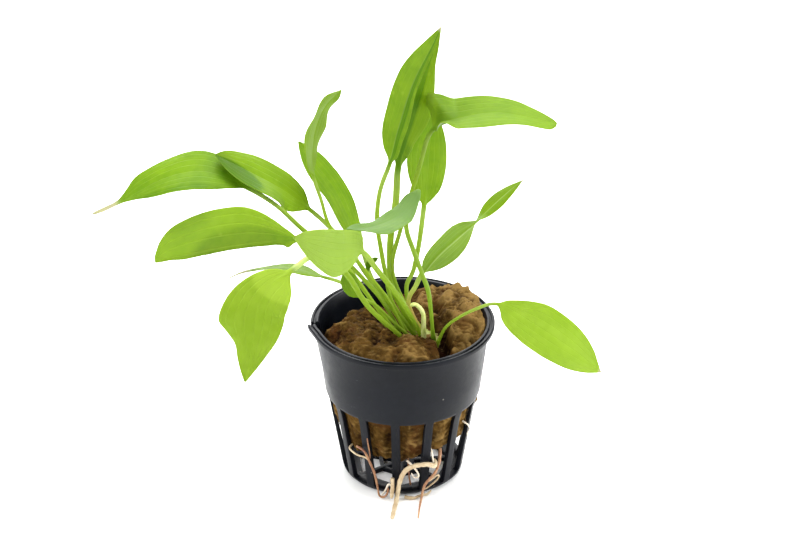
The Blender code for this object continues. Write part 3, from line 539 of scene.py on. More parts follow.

# stalk: from the foot to the neck; blade: from there to the tip; face: share of the blade, upper face's way
# profile: share of the blade, half widths left and right; lift: share, degrees left and right
# folds: side, where and over how many mm, degrees; wave: mm, waves, start
# lobe: mm back at the neck left and right, over this share; radius: of the stalk; tone: from dark to pale
# shade: share and place across of a spot of painted shade, its reaches along and across, and its depth; a
# negative depth paints light
leaves = {
    "farLeftLeaf": {
        "node": "leaf_far_left",
        "stalk": [(-0.5, -5.6, footHeight), (-5.7, -8, 58.4), (-10.4, -5.5, 63.3), (-17, -2, 68.6),
                  (-27.3, 3, 74.4), (-34.8, 6, 80.6), (-43.1, 8, 85.2)],
        "blade": [(-54.4, 10, 89.1), (-65.6, 11, 86.8), (-77.1, 11, 80.3), (-82, 11, 77.8),
                  (-86.9, 11, 75.6)],
        "profile": [(0, 0.7, 0.8), (0.08, 3, 3.8), (0.2, 6.8, 7), (0.34, 8.5, 8.8), (0.48, 7.4, 8.4),
                    (0.6, 5.2, 7.2), (0.7, 2.8, 6), (0.77, 1.6, 3.2), (0.83, 1.2, 1.3), (0.92, 1.2, 1.1),
                    (0.98, 0.7, 0.7), (1, 0.2, 0.2)],
        "face": [(0, 0, -0.25, 0.97)], "lift": [(0, 5, 5)], "radius": 0.65, "tail": 0.17, "tone": 0.12,
        "wave": (0.3, 2.2, 0.4), "shade": [(0.02, 0.2, 0.16, 1.2, 0.3), (0.4, -0.95, 0.3, 0.28, 0.25)],
    },
    "upperLeftLeaf": {
        "node": "leaf_upper_left",
        "stalk": [(1.2, -4.6, footHeight), (-5.2, -6, 58.5), (-9.7, -1, 62.1), (-15, 5, 67.7),
                  (-20.4, 11, 71.3), (-26.1, 15, 74.9)],
        "blade": [(-33.2, 16.2, 80), (-41.6, 14, 86.5), (-51.9, 12.3, 93.1)],
        "profile": [(0, 0.7, 0.7), (0.06, 3, 2.4), (0.14, 6.4, 5.6), (0.27, 9.2, 8.2), (0.44, 10.2, 9.8),
                    (0.6, 9.8, 9.2), (0.75, 8, 7.2), (0.88, 5, 4.6), (0.96, 2.2, 2), (1, 0.2, 0.2)],
        "face": [(0, 0, -0.15, 0.99)], "lift": [(0, 8, 8)], "radius": 0.65, "tone": 0.42,
        "wave": (0.3, 1.8, 1.2),
        "shade": [(0.9, -0.6, 0.34, 0.75, 0.9)],
    },
    "midLeftLeaf": {
        "node": "leaf_mid_left",
        "stalk": [(-0.8, -8.2, footHeight), (-7.1, -12, 58.4), (-10.6, -12, 64), (-15.2, -11, 70.2),
                  (-22.2, -9, 75.3), (-28.2, -8, 77.3)],
        "blade": [(-38.1, -6, 75.6), (-48.5, -4, 73), (-58.4, -2, 69.8), (-68.7, 0, 66.3)],
        "profile": [(0, 0.7, 0.7), (0.08, 2.6, 2.8), (0.16, 5.2, 5.7), (0.25, 6.8, 8.4),
                    (0.36, 7.4, 10.5), (0.5, 7.4, 11), (0.64, 6, 10.8), (0.75, 2.2, 10.1),
                    (0.87, 0.7, 8.4), (0.95, 0.5, 5.4), (0.99, 0.4, 2.2), (1, 0.3, 1)],
        "face": [(0, 0, -0.75, 0.66)], "lift": [(0, 4, 4)], "radius": 0.65, "folds": [(0, 0.5, 1.4, -168)],
        "tone": 0.55, "wave": (0.25, 1.6, 0.2),
        "shade": [(0.3, 0.0, 0.42, 0.5, 0.4), (0.05, 0.3, 0.18, 0.5, 0.1)],
    },
    "frontPaleLeaf": {
        "node": "leaf_front_pale",
        "stalk": [(5.6, -8.4, footHeight), (0.4, -18, 62.6), (-3.4, -22, 70.7), (-6.8, -26, 77.6),
                  (-10.6, -30, 85.2)],
        "blade": [(-15.9, -37, 89.2), (-21.2, -44, 94), (-27.1, -50, 99.5)],
        "profile": [(0, 1.4, 2), (0.05, 2.4, 4.2), (0.12, 3.4, 5), (0.22, 4.6, 5.3), (0.32, 6.4, 5.3),
                    (0.42, 7.2, 5.1), (0.57, 6, 4.8), (0.75, 3.8, 4), (0.9, 1.8, 2.4), (1, 0.3, 0.4)],
        "face": [toViewer], "lift": [(0, 6, 6)], "radius": 0.75, "tone": 1.15, "sheenAndPaleNeck": 0.3,
        "wave": (0.2, 1.3, 0.9),
    },
    "frontGreyLeaf": {
        "node": "leaf_front_grey",
        "stalk": [(8.5, -10.7, footHeight), (7.6, -17, 60.5), (6.8, -21, 68.6), (5.1, -26, 76.4),
                  (2.6, -32, 87), (0.8, -34, 94.5), (2, -35.5, 102), (4, -38, 106.9)],
        "blade": [(2.6, -41.5, 105), (-0.2, -46, 103.9), (-4.4, -52, 104.7), (-8.8, -57, 105.8),
                  (-13.4, -62, 108)],
        "profile": [(0, 0.8, 1.6), (0.12, 1.6, 3.2), (0.3, 3.4, 3.3), (0.45, 5.2, 3), (0.6, 6, 2.8),
                    (0.75, 6, 2.5), (0.88, 5, 2), (0.96, 3, 1.2), (1, 0.6, 0.4)],
        "face": [(0, 0.1, 0.12, 1)], "lift": [(0, 8, 8)], "radius": 0.65, "tone": -0.25, "sheenAndPaleNeck": 0.5,
        "wave": (0.35, 2.4, 0.0),
    },
    "uprightLeftLeaf": {
        "node": "leaf_upright_left",
        "stalk": [(1.1, -7.5, footHeight), (-3.9, -10.2, 59.8), (-9, -8, 65.9), (-14.8, -3, 71.6),
                  (-20.3, 2, 76.4), (-22.5, 5, 83), (-24.7, 7, 89.3)],
        "blade": [(-24.9, 8.5, 96.5), (-23.9, 10, 102.4), (-21.3, 11.5, 108.3), (-16.8, 12, 112.8)],
        "profile": [(0, 0.6, 0.6), (0.12, 3.2, 1.6), (0.26, 5.8, 3), (0.4, 6.2, 4.4), (0.52, 5.6, 5),
                    (0.65, 4.4, 4.2), (0.78, 4.2, 3.2), (0.88, 4.2, 2.6), (0.95, 2.8, 1.6), (1, 0.3, 0.3)],
        "face": [(0, 0.9, -0.35, 0.2)], "lift": [(0, 8, 8)], "radius": 0.5, "tone": 0.6, "sheenAndPaleNeck": 0.1,
        "wave": (0.3, 2.6, 0.6),
    },
    "darkLeftLeaf": {
        "node": "leaf_dark_left",
        "stalk": [(0.6, -2.2, footHeight), (-3.8, -1.5, 55.1), (-7.8, 5, 56.6), (-10.1, 9.5, 60),
                  (-11.5, 12, 63.8)],
        "blade": [(-15.5, 16, 71.9), (-20.3, 20, 80.3), (-29.5, 24, 91.8)],
        "profile": [(0, 0.6, 0.6), (0.08, 2.4, 2.5), (0.2, 4.8, 4.6), (0.35, 6.2, 5.8), (0.5, 7.4, 6.3),
                    (0.62, 8, 6.7), (0.76, 7, 6), (0.87, 4.8, 4), (0.95, 2.2, 1.8), (1, 0.2, 0.2)],
        "face": [(0, 0.75, -0.25, 0.6)], "lift": [(0, 6, 6)], "radius": 0.6, "tone": 0.15,
        "wave": (0.25, 1.7, 0.3),
    },
    "topFrontLeaf": {
        "node": "leaf_top_front",
        "stalk": [(3.3, -6.5, footHeight), (-2.8, -8, 57.7), (-4.6, -6, 64.8), (-6, -3, 71.6),
                  (-7.1, -1, 79.8), (-6.2, 1, 88), (-3.5, 2, 95.6)],
        "blade": [(-1, 3, 105.6), (2.7, 4, 117.7), (10.1, 4, 134.3)],
        "profile": [(0, 0.7, 0.8), (0.05, 2.8, 2), (0.1, 4.3, 2.5), (0.17, 5.2, 2.8), (0.3, 6, 3),
                    (0.44, 6.5, 2.7), (0.58, 6, 2.2), (0.72, 4.6, 1.6), (0.84, 3, 1.2), (0.94, 1.4, 0.8),
                    (1, 0.2, 0.2)],
        "face": [(0, -0.7, -0.65, 0.25)], "lift": [(0, 8, 8)], "radius": 0.65, "tone": 0.3, "brownTip": 0.02,
        "wave": (0.25, 2.1, 0.8), "rib": 0.1,
        "shade": [(0.45, 0.26, 0.6, 0.28, 1.3), (0.4, 0.9, 0.5, 0.8, 0.15)],
    },
    "topRearLeaf": {
        "node": "leaf_top_rear",
        "stalk": [(3.2, -3.4, footHeight), (-2.8, -2, 58.5), (-3.6, 2, 64.3), (-3.3, 6, 72.2),
                  (-1.9, 9, 81), (-1.3, 11, 90.2)],
        "blade": [(1.7, 13, 101.1), (5, 14, 112), (10.2, 12, 130.3)],
        "profile": [(0, 1, 1), (0.08, 2.4, 2.3), (0.19, 4.2, 3.4), (0.32, 5.2, 5), (0.46, 5.2, 5),
                    (0.6, 4.4, 3.6), (0.74, 3.2, 1.8), (0.88, 1.8, 1), (1, 0.2, 0.2)],
        "face": [(0, 0.5, -0.8, 0.3)], "lift": [(0, 8, 8)], "radius": 0.95, "tone": 0.6,
        "wave": (0.25, 2.3, 0.1),
        "shade": [(0.35, -0.35, 0.6, 0.5, 0.65), (0.02, 0, 0.16, 1.2, 0.5)],
    },
    "rightFoldedLeaf": {
        "node": "leaf_right_folded",
        "stalk": [(5.2, -3.6, footHeight), (-0.8, -5.5, 59.2), (-3, -3.5, 67.2), (-0.8, 1, 75.1),
                  (2, 4, 84.4), (4.7, 6, 93.1), (7.9, 7, 103.2)],
        "blade": [(15.8, 7, 106.8), (23.8, 6.5, 108.4), (30.6, 6, 108.1), (41.6, 4, 106.3)],
        "profile": [(0, 1.2, 0.8), (0.03, 5, 3), (0.08, 9.4, 4.6), (0.16, 9, 5.4), (0.26, 7.6, 6.2),
                    (0.37, 6.8, 7), (0.5, 6.3, 6.8), (0.65, 5.6, 5.8), (0.78, 3.8, 4.6), (0.9, 2.2, 3.7),
                    (0.97, 1.3, 2.9), (1, 0.5, 0.8)],
        "face": [(0, -0.05, -0.1, 0.98)], "radius": 0.6,
        "lift": [(0, 78, 60), (0.08, 78, 60), (0.24, 20, 3), (1, 18, 3)],
        "lobe": (6.6, 2.5, 0.16), "tone": 0.36, "sheenAndPaleNeck": 0.1, "wave": (0.25, 2.0, 0.5),
        "shade": [(0.1, 0.6, 0.12, 0.7, 0.1), (0.03, -0.8, 0.12, 0.6, -0.5)],
    },
    "rearLeaf": {
        "node": "leaf_rear",
        "stalk": [(3.0, -0.8, footHeight), (0.9, 3, 56.3), (2.9, 8, 58.9), (4.6, 14, 64.8), (6, 20, 73.7)],
        "blade": [(7.1, 24, 81.5), (7.7, 27, 89.5), (8.8, 30, 98.4)],
        "profile": [(0, 0.8, 0.8), (0.07, 2.3, 2.2), (0.18, 4.6, 4.2), (0.32, 6.5, 5.3), (0.48, 7.2, 5.8),
                    (0.65, 6.5, 5.3), (0.8, 4.8, 3.8), (0.92, 2.4, 1.9), (1, 0.2, 0.2)],
        "face": [(0, 0.45, -0.85, 0.3)], "lift": [(0, 5, 5)], "radius": 0.75, "tone": 0.2,
        "wave": (0.25, 1.4, 0.7),
    },
    "twistedRightLeaf": {
        "node": "leaf_twisted_right",
        "stalk": [(5.2, -6, footHeight), (1.4, -8.5, 58.3), (3.4, -7, 61.9), (5.3, -5, 65.5)],
        "blade": [(10.5, -2, 70.5), (16.1, 1, 74.5), (20.7, 3, 77.8), (26.2, 5, 82.4), (33.1, 7, 88.1)],
        "profile": [(0, 0.8, 0.8), (0.06, 3.8, 3.6), (0.14, 7, 5.6), (0.25, 8.4, 6.3), (0.36, 7.8, 6.5),
                    (0.46, 5, 4.8), (0.55, 3, 3), (0.66, 3.6, 2.6), (0.77, 4, 2.8), (0.88, 2.8, 2),
                    (0.95, 1.4, 1.1), (1, 0.2, 0.2)],
        "face": [(0, -0.55, 0.75, 0.35), (0.42, -0.55, 0.75, 0.35), (0.7, -0.58, -0.21, 0.78),
                 (1, -0.58, -0.21, 0.78)],
        "lift": [(0, 3, 3)], "radius": 0.75, "tone": 0.4, "blush": 0.8, "brownTip": 0.015,
        "wave": (0.2, 1.5, 0.3),
        "rib": 0.4,
    },
    "lowRightLeaf": {
        "node": "leaf_low_right",
        "stalk": [(9.4, -12.4, footHeight), (11.6, -13, 52.7), (15.1, -13, 55.8), (20, -13, 58.6),
                  (26, -13, 60.2)],
        "blade": [(35.1, -14, 55.1), (44.9, -15, 48.4), (54.8, -16, 40.4)],
        "profile": [(0, 0.6, 0.8), (0.03, 1.4, 3), (0.12, 3.4, 5.8), (0.26, 6.4, 7.2), (0.38, 8.2, 7.9),
                    (0.52, 8.3, 8.1), (0.71, 6.9, 6.7), (0.87, 4.4, 3.9), (0.96, 1.6, 1.5), (1, 0.2, 0.2)],
        "face": [(0, 0.4, -0.5, 0.77)], "lift": [(0, 4, 4)], "radius": 0.5, "tone": 0.75, "brownTip": 0.018,
        "wave": (0.25, 1.8, 0.0),
    },
    "hangingFrontLeaf": {
        "node": "leaf_hanging_front",
        "stalk": [(0.9, -9.9, footHeight), (-7.8, -17.5, 59.9), (-11, -19.5, 65.6), (-14, -23, 73.3),
                  (-17.5, -28, 80.8), (-20.7, -32, 85.5), (-24.2, -35, 86.2), (-29.1, -37, 82.9)],
        "blade": [(-34.1, -38, 79.6), (-37.6, -39, 73.7), (-38.8, -40, 65.9), (-41.5, -41, 52.2)],
        "profile": [(0, 0.8, 0.8), (0.05, 3.8, 2), (0.11, 6.4, 3.4), (0.22, 7.3, 5.8), (0.34, 7.6, 7.9),
                    (0.46, 7.6, 9.6), (0.56, 6.9, 9.7), (0.64, 5.9, 7.4), (0.72, 4.7, 4.7),
                    (0.82, 3.2, 3.3), (0.92, 1.6, 1.7), (1, 0.2, 0.2)],
        "face": [(0, -0.1, -0.8, 0.6)], "lift": [(0, 4, 4)], "radius": 0.75, "tone": 0.9, "paleNeck": 1.0,
        "wave": (0.4, 1.9, 0.2), "shade": [(0.06, 0, 0.2, 1.3, -0.7)],
    },
    "thinLeftLeaf": {
        "node": "leaf_thin_left",
        "stalk": [(-2.4, -6.2, footHeight), (-5.3, -6.4, 50.3), (-8.4, -7.2, 54.3), (-11.5, -8.2, 59.6),
                  (-16.4, -7.5, 63.6), (-21.1, -6, 64.5)],
        "blade": [(-28, -4, 65.9), (-35, -2, 65.8), (-43.3, 0, 63.4), (-48.5, 1, 60.4)],
        "profile": [(0, 0.6, 0.6), (0.08, 2.6, 1.6), (0.21, 5, 4), (0.36, 5.8, 4.8), (0.5, 5.2, 4.8),
                    (0.62, 3.6, 4), (0.72, 2, 2.6), (0.8, 1.3, 1.6), (0.92, 1, 1), (1, 0.2, 0.2)],
        "face": [(0, 0, 0.3, 0.95)], "lift": [(0, 4, 4)], "radius": 0.5, "tail": 0.24, "tone": 0.3,
        "wave": (0.25, 1.6, 0.5),
    },
    "smallLeaf": {
        "node": "leaf_small",
        "stalk": [(2.7, -9.2, footHeight), (-3.8, -12, 55.2), (-7.8, -14.5, 61), (-11.9, -15, 63.5)],
        "blade": [(-14, -15, 67.2), (-15.6, -15, 71.5)],
        "profile": [(0, 0.5, 0.6), (0.2, 2, 1.6), (0.45, 2.6, 2.2), (0.7, 2.3, 2.1), (0.88, 1.3, 1.4),
                    (1, 0.2, 0.2)],
        "face": [toViewer], "lift": [(0, 0, 0)], "radius": 0.5, "tone": 0.05, "wave": (0.1, 1, 0),
    },
    "youngLeaf": {
        "node": "leaf_young",
        "stalk": [(-1.4, -3.6, footHeight), (-5.1, -3.5, 55.9), (-8.6, 2, 58.3), (-10, 3, 61.9)],
        "blade": [(-9.4, 3.5, 64.1), (-8, 3.5, 65.1), (-6.9, 3.5, 65.7)],
        "profile": [(0, 0.4, 0.4), (0.4, 1, 1), (0.8, 0.7, 0.7), (1, 0.15, 0.15)],
        "face": [toViewer], "lift": [(0, 0, 0)], "radius": 0.4, "tone": -0.25, "wave": (0.05, 1, 0),
    },
}


def halfWidths(leaf, share, thin):
    # The blade's half widths left and right, on a smooth line through the places of its profile.
    knots = leaf["profile"]
    i = next(i for i in range(len(knots) - 1) if share <= knots[i + 1][0] or i == len(knots) - 2)
    before, start, end = knots[max(i - 1, 0)], knots[i], knots[i + 1]
    after = knots[min(i + 2, len(knots) - 1)]
    span = end[0] - start[0]
    t = min((share - start[0]) / span, 1.0)
    widths = []
    for side in (1, 2):
        leaving = (end[side] - before[side]) / (end[0] - before[0]) * span
        coming = (after[side] - start[side]) / (after[0] - start[0]) * span
        width = (1 + 2 * t) * (1 - t) ** 2 * start[side] + t * (1 - t) ** 2 * leaving
        width += t * t * (3 - 2 * t) * end[side] + t * t * (t - 1) * coming
        widths.append(max(width, thin))
    return widths


def acrossHalf(width, lift, folds, bend):
    # Places across one half of the blade from the midrib to its margin: sideways, up and slope.
    steps = leafForm["steps"]
    sideways = up = before = 0.0
    places = []
    for station in leafForm["stations"]:
        stretch = station * width - before
        for step in range(steps):
            at = before + stretch * (step + 0.5) / steps
            slope = lift - leafForm["droop"] * (at / width) ** 2
            slope += sum(turn * ease(at, where, where + over) for where, over, turn in folds)
            slope = math.radians(slope * bend)
            sideways += math.cos(slope) * stretch / steps
            up += math.sin(slope) * stretch / steps
        before = station * width
        places.append((sideways, up, slope))
    return places


def leafRing(leaf, share, radius, spread):
    # One ring of places (sideways, forward, up) and how far each is across, from the left margin
    # over the upper face to the right one and back underneath.
    stations = leafForm["stations"]
    count = len(stations)
    blade = max(share, 0.0)
    thin = radius * (1 - leafForm["ribThins"] * blade)
    flat = ease(share, *leafForm["flattens"])
    bend = ease(share, *leafForm["bends"])
    widths = halfWidths(leaf, blade, thin) if blade else [thin, thin]
    lifts = alongKnots(leaf["lift"], blade)
    height, waves, start = leaf["wave"]
    lobe = leaf.get("lobe", (0, 0, 1))
    over, under = [], []
    for side, sign in ((0, -1), (1, 1)):
        folds = [fold[1:] for fold in leaf.get("folds", ()) if fold[0] == side]
        half = acrossHalf(widths[side], lifts[side], folds, bend)
        wave = height * bend * math.sin(math.tau * (waves * share + start + leafForm["waveShift"] * side))
        tops, soles = [], []
        for i, (sideways, up, slope) in enumerate(half):
            at = stations[i]
            up += wave * at ** leafForm["waveRise"]
            margin = math.sqrt(min(1, (1 - at) * widths[side] / leafForm["skin"]))
            skin = leafForm["skin"] * margin * (1 - leafForm["skinThins"] * blade)
            rib = thin * math.exp(-(at * widths[side] / (leafForm["ribWidth"] * radius)) ** 2)
            back = -lobe[side] * at * math.exp(-(share / lobe[2]) ** 2) * bend
            turn = math.pi / 2 * (1 - i / (count - 1))
            above = leafForm["ribAbove"] * rib
            for rows, way, depth in ((tops, 1, max(skin, above)), (soles, -1, max(skin, rib))):
                normal = (-math.sin(slope) * depth * way, math.cos(slope) * depth * way)
                onBlade = Vector((sign * (sideways + normal[0]), back, up + normal[1]))
                onStalk = Vector((sign * radius * math.cos(turn) * spread, 0, way * radius * math.sin(turn)))
                rows.append(onStalk.lerp(onBlade, flat))
        over.append(tops)
        under.append(soles)
    ring = [*reversed(over[0]), *over[1][1:], *reversed(under[1][:-1]), *under[0][1:-1]]
    places = [-s for s in reversed(stations)] + list(stations[1:])
    marks = [(s, 0.0) for s in places] + [(s, 1.0) for s in reversed(places[1:-1])]
    return ring, marks


def leafFrames(leaf):
    # The place, direction, upward way and blade share of each row, and the stalk's length from its foot.
    foot = Vector(leaf["stalk"][0])
    low = foot + (foot - Vector(leaf["stalk"][1])).normalized() * (foot.z - leafForm["foot"])
    route = smoothRoute([low, *leaf["stalk"], *leaf["blade"]])
    nearest = min(range(len(route)), key=lambda i: (route[i] - Vector(leaf["stalk"][-1])).length)
    lengths = [(b - a).length for a, b in zip(route, route[1:])]
    whole = sum(lengths)
    neck = sum(lengths[:nearest]) / whole
    rows, blades = leafForm["stalkRows"], leafForm["bladeRows"]
    shares = [(i - rows) / rows for i in range(rows)]
    for i in range(blades + 1):
        step = i / blades
        shares.append(0.7 * step + 0.3 * (0.5 - 0.5 * math.cos(math.pi * step)))
    along = [neck * (1 + s) if s < 0 else neck + (1 - neck) * s for s in shares]
    frames = []
    for share, part, (place, direction) in zip(shares, along, placesAlong(route, along)):
        inBlades = share if share >= 0 else share * neck / (1 - neck)
        frames.append([place, direction, alongKnots(leaf["face"], max(share, 0)), inBlades, part * whole])
    up = frames[rows][2]
    for row in reversed(frames[:rows + 1]):
        up = (up - row[1] * up.dot(row[1])).normalized()
        row[2] = up
    return frames


def shadeAt(leaf, share, across):
    # Painted shade: how much darker the leaf's colour is made where another leaf or a fold lies close behind
    # or over it, or casts its shadow; a negative depth paints light instead.
    depth = 0.0
    for atShare, atAcross, reach, reachAcross, amount in leaf.get("shade", ()):
        away = math.hypot((share - atShare) / reach, (across - atAcross) / reachAcross)
        depth += amount * ease(away, 1.15, 0.85)
    return depth


def tintAt(leaf, place, share, fromFoot):
    # The leaf's tone, how withered it is and how much it blushes.
    drift, scale = leafForm["toneDrift"]
    tone = leaf["tone"] + drift * noise.noise(place * scale)
    old = 0.0
    if "tail" in leaf:
        start, over = 1 - leaf["tail"], leafForm["withersOver"]
        old = ease(share, start - over, start + over)
    if "brownTip" in leaf:
        old = max(old, ease(share, 1 - 2 * leaf["brownTip"], 1 - leaf["brownTip"]))
    middle, reach = leafForm["blushAt"]
    return tone, old, leaf.get("blush", 0.0) * math.exp(-((fromFoot - middle) / reach) ** 2)


def makeLeaf(name, leaf):
    rings, places, tints, finishes = [], [], [], []
    knobs, knobScale = leafForm["stalkKnobs"]
    swells, swellScale = leafForm["swell"]
    paleNeck = leaf.get("paleNeck", leafForm["stalkFrost"])
    for place, direction, face, share, fromFoot in leafFrames(leaf):
        up = (face - direction * face.dot(direction)).normalized()
        across = direction.cross(up)
        foot = math.exp(-(fromFoot / leafForm["sheathReach"]) ** 2)
        thinned = leafForm["stalkThins"] * ease(fromFoot, *leafForm["thinsOver"])
        radius = leaf["radius"] * (1 - thinned + leafForm["footSwell"] * foot)
        if share < 0:
            radius *= 1 + knobs * noise.noise(place * knobScale)
        ring, marks = leafRing(leaf, share, radius, 1 + leafForm["sheath"] * foot)
        swell = swells * ease(share, *leafForm["swellOver"]) * noise.noise(place * swellScale)
        rings.append([place + across * p.x + direction * p.y + up * (p.z + swell) for p in ring])
        places.append([(share, q, below) for q, below in marks])
        tints.append([tintAt(leaf, place, share, fromFoot)] * len(ring))
        # painted sheen on the blade; on the stalk, a paler neck
        sheenAndPaleNeck = leaf.get("sheenAndPaleNeck", 0.0) if share >= 0 else paleNeck * ease(share, *leafForm["neckPales"])
        finishes.append([(sheenAndPaleNeck, leaf.get("rib", 0.0), shadeAt(leaf, share, q)) for q, below in marks])
    piece = rolledGrid(name, rings, {"leafPlace": places, "leafTint": tints, "leafFinish": finishes})
    return dress(piece, leafGreen, leaf["node"])


for name, leaf in leaves.items():
    makeLeaf(name, leaf)
print("leaves made:", len(leaves))


# The bent stub and the roots

tube = {
    "spacing": 0.3,
    "passes": 8,
    "endRows": 3,        # rows that round the end off
    "blunt": 0.04,
    "lowest": 0.03,      # nothing goes into the floor
    "bumps": (0.9, 1.4),  # the noise's scales along and round it
}


def tubeRings(points, radii, around=14, rough=0.08):
    # Bumpy rings round a smooth line through the points, from the first radius to the last.
    route = smoothRoute(points, spacing=tube["spacing"], passes=tube["passes"])
    along, round_ = tube["bumps"]
    up = Vector((0, 0, 1))
    rings = []
    for i, place in enumerate(route):
        share = i / (len(route) - 1)
        direction = (route[min(i + 1, len(route) - 1)] - route[max(i - 1, 0)]).normalized()
        up = (up - direction * up.dot(direction)).normalized()
        across = direction.cross(up)
        past = max(1 - (1 - share) * len(route) / tube["endRows"], 0)
        end = math.sqrt(max(1 - past ** 2, tube["blunt"]))
        radius = (radii[0] + (radii[1] - radii[0]) * share) * (1 + rough * noise.noise(place * along)) * end
        ring = []
        for j in range(around):
            turn = math.tau * j / around
            way = across * math.cos(turn) + up * math.sin(turn)
            point = place + way * radius * (1 + rough * noise.noise((place + way * 2) * round_))
            point.z = max(point.z, tube["lowest"])
            ring.append(point)
        rings.append(ring)
    return rings


def makeTube(name, points, radii, finish, slot, node=None, **shape):
    return dress(rolledGrid(name, tubeRings(points, radii, **shape)), finish, node)


stub = {
    "node": "bent_stalk",
    "points": [(5.9, -11.1, 45.5), (5.7, -12.5, 53.3), (5.6, -12.5, 56.8), (4.4, -12.5, 59),
               (3.1, -12.5, 59.9), (2, -12.8, 59.4)],
    "radii": (0.8, 0.55),
}

roots = {
    "thickRoot": {
        "node": "root_thick",
        "points": [(8.8, -15.2, 10.9), (9.1, -16.2, 10.6), (9, -17.5, 10.3), (7.1, -19.4, 12.2),
                   (3.2, -20.2, 12.1), (0.7, -20, 10.4), (-0.8, -19.6, 6.6), (-1.3, -19.4, 3.4),
                   (-1.7, -20, 0.75), (-2.3, -24.1, 0.75), (-3, -29.5, 0.7)],
        "radii": (0.68, 0.6), "finish": rootPale,
    },
    "orangeRoot": {
        "node": "root_orange",
        "points": [(10.6, -13.6, 13.9), (10.5, -14.6, 12.2), (10.1, -16.2, 9.8), (8.8, -18.1, 7.9),
                   (6.7, -18.7, 5.7), (5.8, -18.5, 3.1), (5.4, -18.6, 0.6), (4.9, -22.1, 0.5),
                   (4.3, -29, 0.35)],
        "radii": (0.5, 0.22), "finish": rootOrange,
    },
    "brownRoot": {
        "node": "root_brown",
        "points": [(-12.8, -13.8, 14.6), (-12.8, -15.2, 15.4), (-10.8, -17.9, 15.6), (-9, -18.2, 11.4),
                   (-7.9, -18, 8), (-7.2, -18.3, 4.4), (-6.6, -18.4, 0.8), (-5.3, -18.8, 0.7),
                   (-4.4, -19.3, 2.2), (-4.1, -19.8, 4.6)],
        "radii": (0.34, 0.3), "finish": rootBrown,
    },
    "baseRoot": {
        "node": "root_base",
        "points": [(0.6, -18.6, 0.65), (2.5, -19.2, 0.6), (3.9, -18.9, 0.6)],
        "radii": (0.5, 0.42), "finish": rootPale,
    },
    "curledRoot": {
        "node": "root_curl",
        "points": [(1.1, -18.2, 12.7), (1.7, -18.1, 12), (2.6, -18, 11), (4, -18.6, 9.4),
                   (4.6, -18.4, 7.4), (3.3, -18.4, 7), (2.4, -18.3, 8.6)],
        "radii": (0.3, 0.22), "finish": rootWhite,
    },
    "uprightRoot": {
        "node": "root_upright",
        "points": [(-2.9, -19.5, 7.6), (-2.9, -19.8, 4.4), (-3.2, -20, 1)],
        "radii": (0.55, 0.5), "finish": rootPale,
    },
}

rootlets = {
    # name: points, radii, finish
    "loopRootlet": ([(6.9, -18.3, 5.6), (8.2, -17.6, 6), (9.9, -17, 7.2), (10.4, -16.6, 6.6),
                     (9.6, -16.8, 5.2), (7.8, -17.6, 3.9), (6, -18.3, 2.9)], (0.26, 0.22), rootPale),
    "slotRootlet": ([(7.6, -16.9, 16.4), (8.2, -18, 15.6), (8.4, -17.7, 13.6), (8.7, -17.1, 11.2)],
                    (0.24, 0.2), rootWhite),
    "leftRootlet": ([(-14.2, -11, 13.6), (-15.2, -12.4, 13.2), (-14.1, -13.6, 12.6), (-12.6, -14.8, 12.2),
                     (-10.9, -16.2, 12.6), (-9.6, -17, 12.2), (-8.9, -17.2, 10.8)], (0.3, 0.24), rootPale),
    "barRootlet": ([(-9.5, -17, 20.8), (-9.9, -17.9, 19.8), (-9.6, -17.9, 17.3), (-9.3, -17.7, 15.2),
                    (-9.2, -17.6, 12.9)], (0.2, 0.2), rootBrown),
    "innerRootlet": ([(1.5, -15.6, 12), (1.7, -16, 9), (1.8, -16.1, 6.1), (2.1, -15.5, 3.6),
                      (2.3, -14.6, 1.9)], (0.3, 0.26), rootBrown),
    "tangledRootlet": ([(-5.9, -17.4, 0.4), (-4.7, -17.9, 2.9), (-3.9, -18.4, 5), (-3, -18.3, 4),
                        (-3.5, -18, 1.8), (-2.5, -18.1, 0.4)], (0.3, 0.26), rootWhite),
    "baseRootlet": ([(3.6, -18.8, 0.6), (4.9, -17.7, 0.5), (6.4, -17.2, 0.5), (7.4, -16.9, 0.6),
                     (8.1, -16.6, 1.7)], (0.4, 0.32), rootPale),
    "rightRootlet": ([(16.9, -9.3, 20.2), (18.3, -9.9, 19.6), (19.1, -8.3, 17), (18.4, -8.6, 15.8),
                      (19, -5.6, 12.4)], (0.24, 0.2), rootWhite),
}

rootRough = 0.16
makeTube("bentStub", stub["points"], stub["radii"], oldStalk, "old_stalk", stub["node"])
for name, root in roots.items():
    makeTube(name, root["points"], root["radii"], root["finish"], "root", root["node"], rough=rootRough)
for name, (points, radii, finish) in rootlets.items():
    makeTube(name, points, radii, finish, "root", around=10, rough=rootRough)
print("stub and roots made:", 1 + len(roots) + len(rootlets))


# The pot

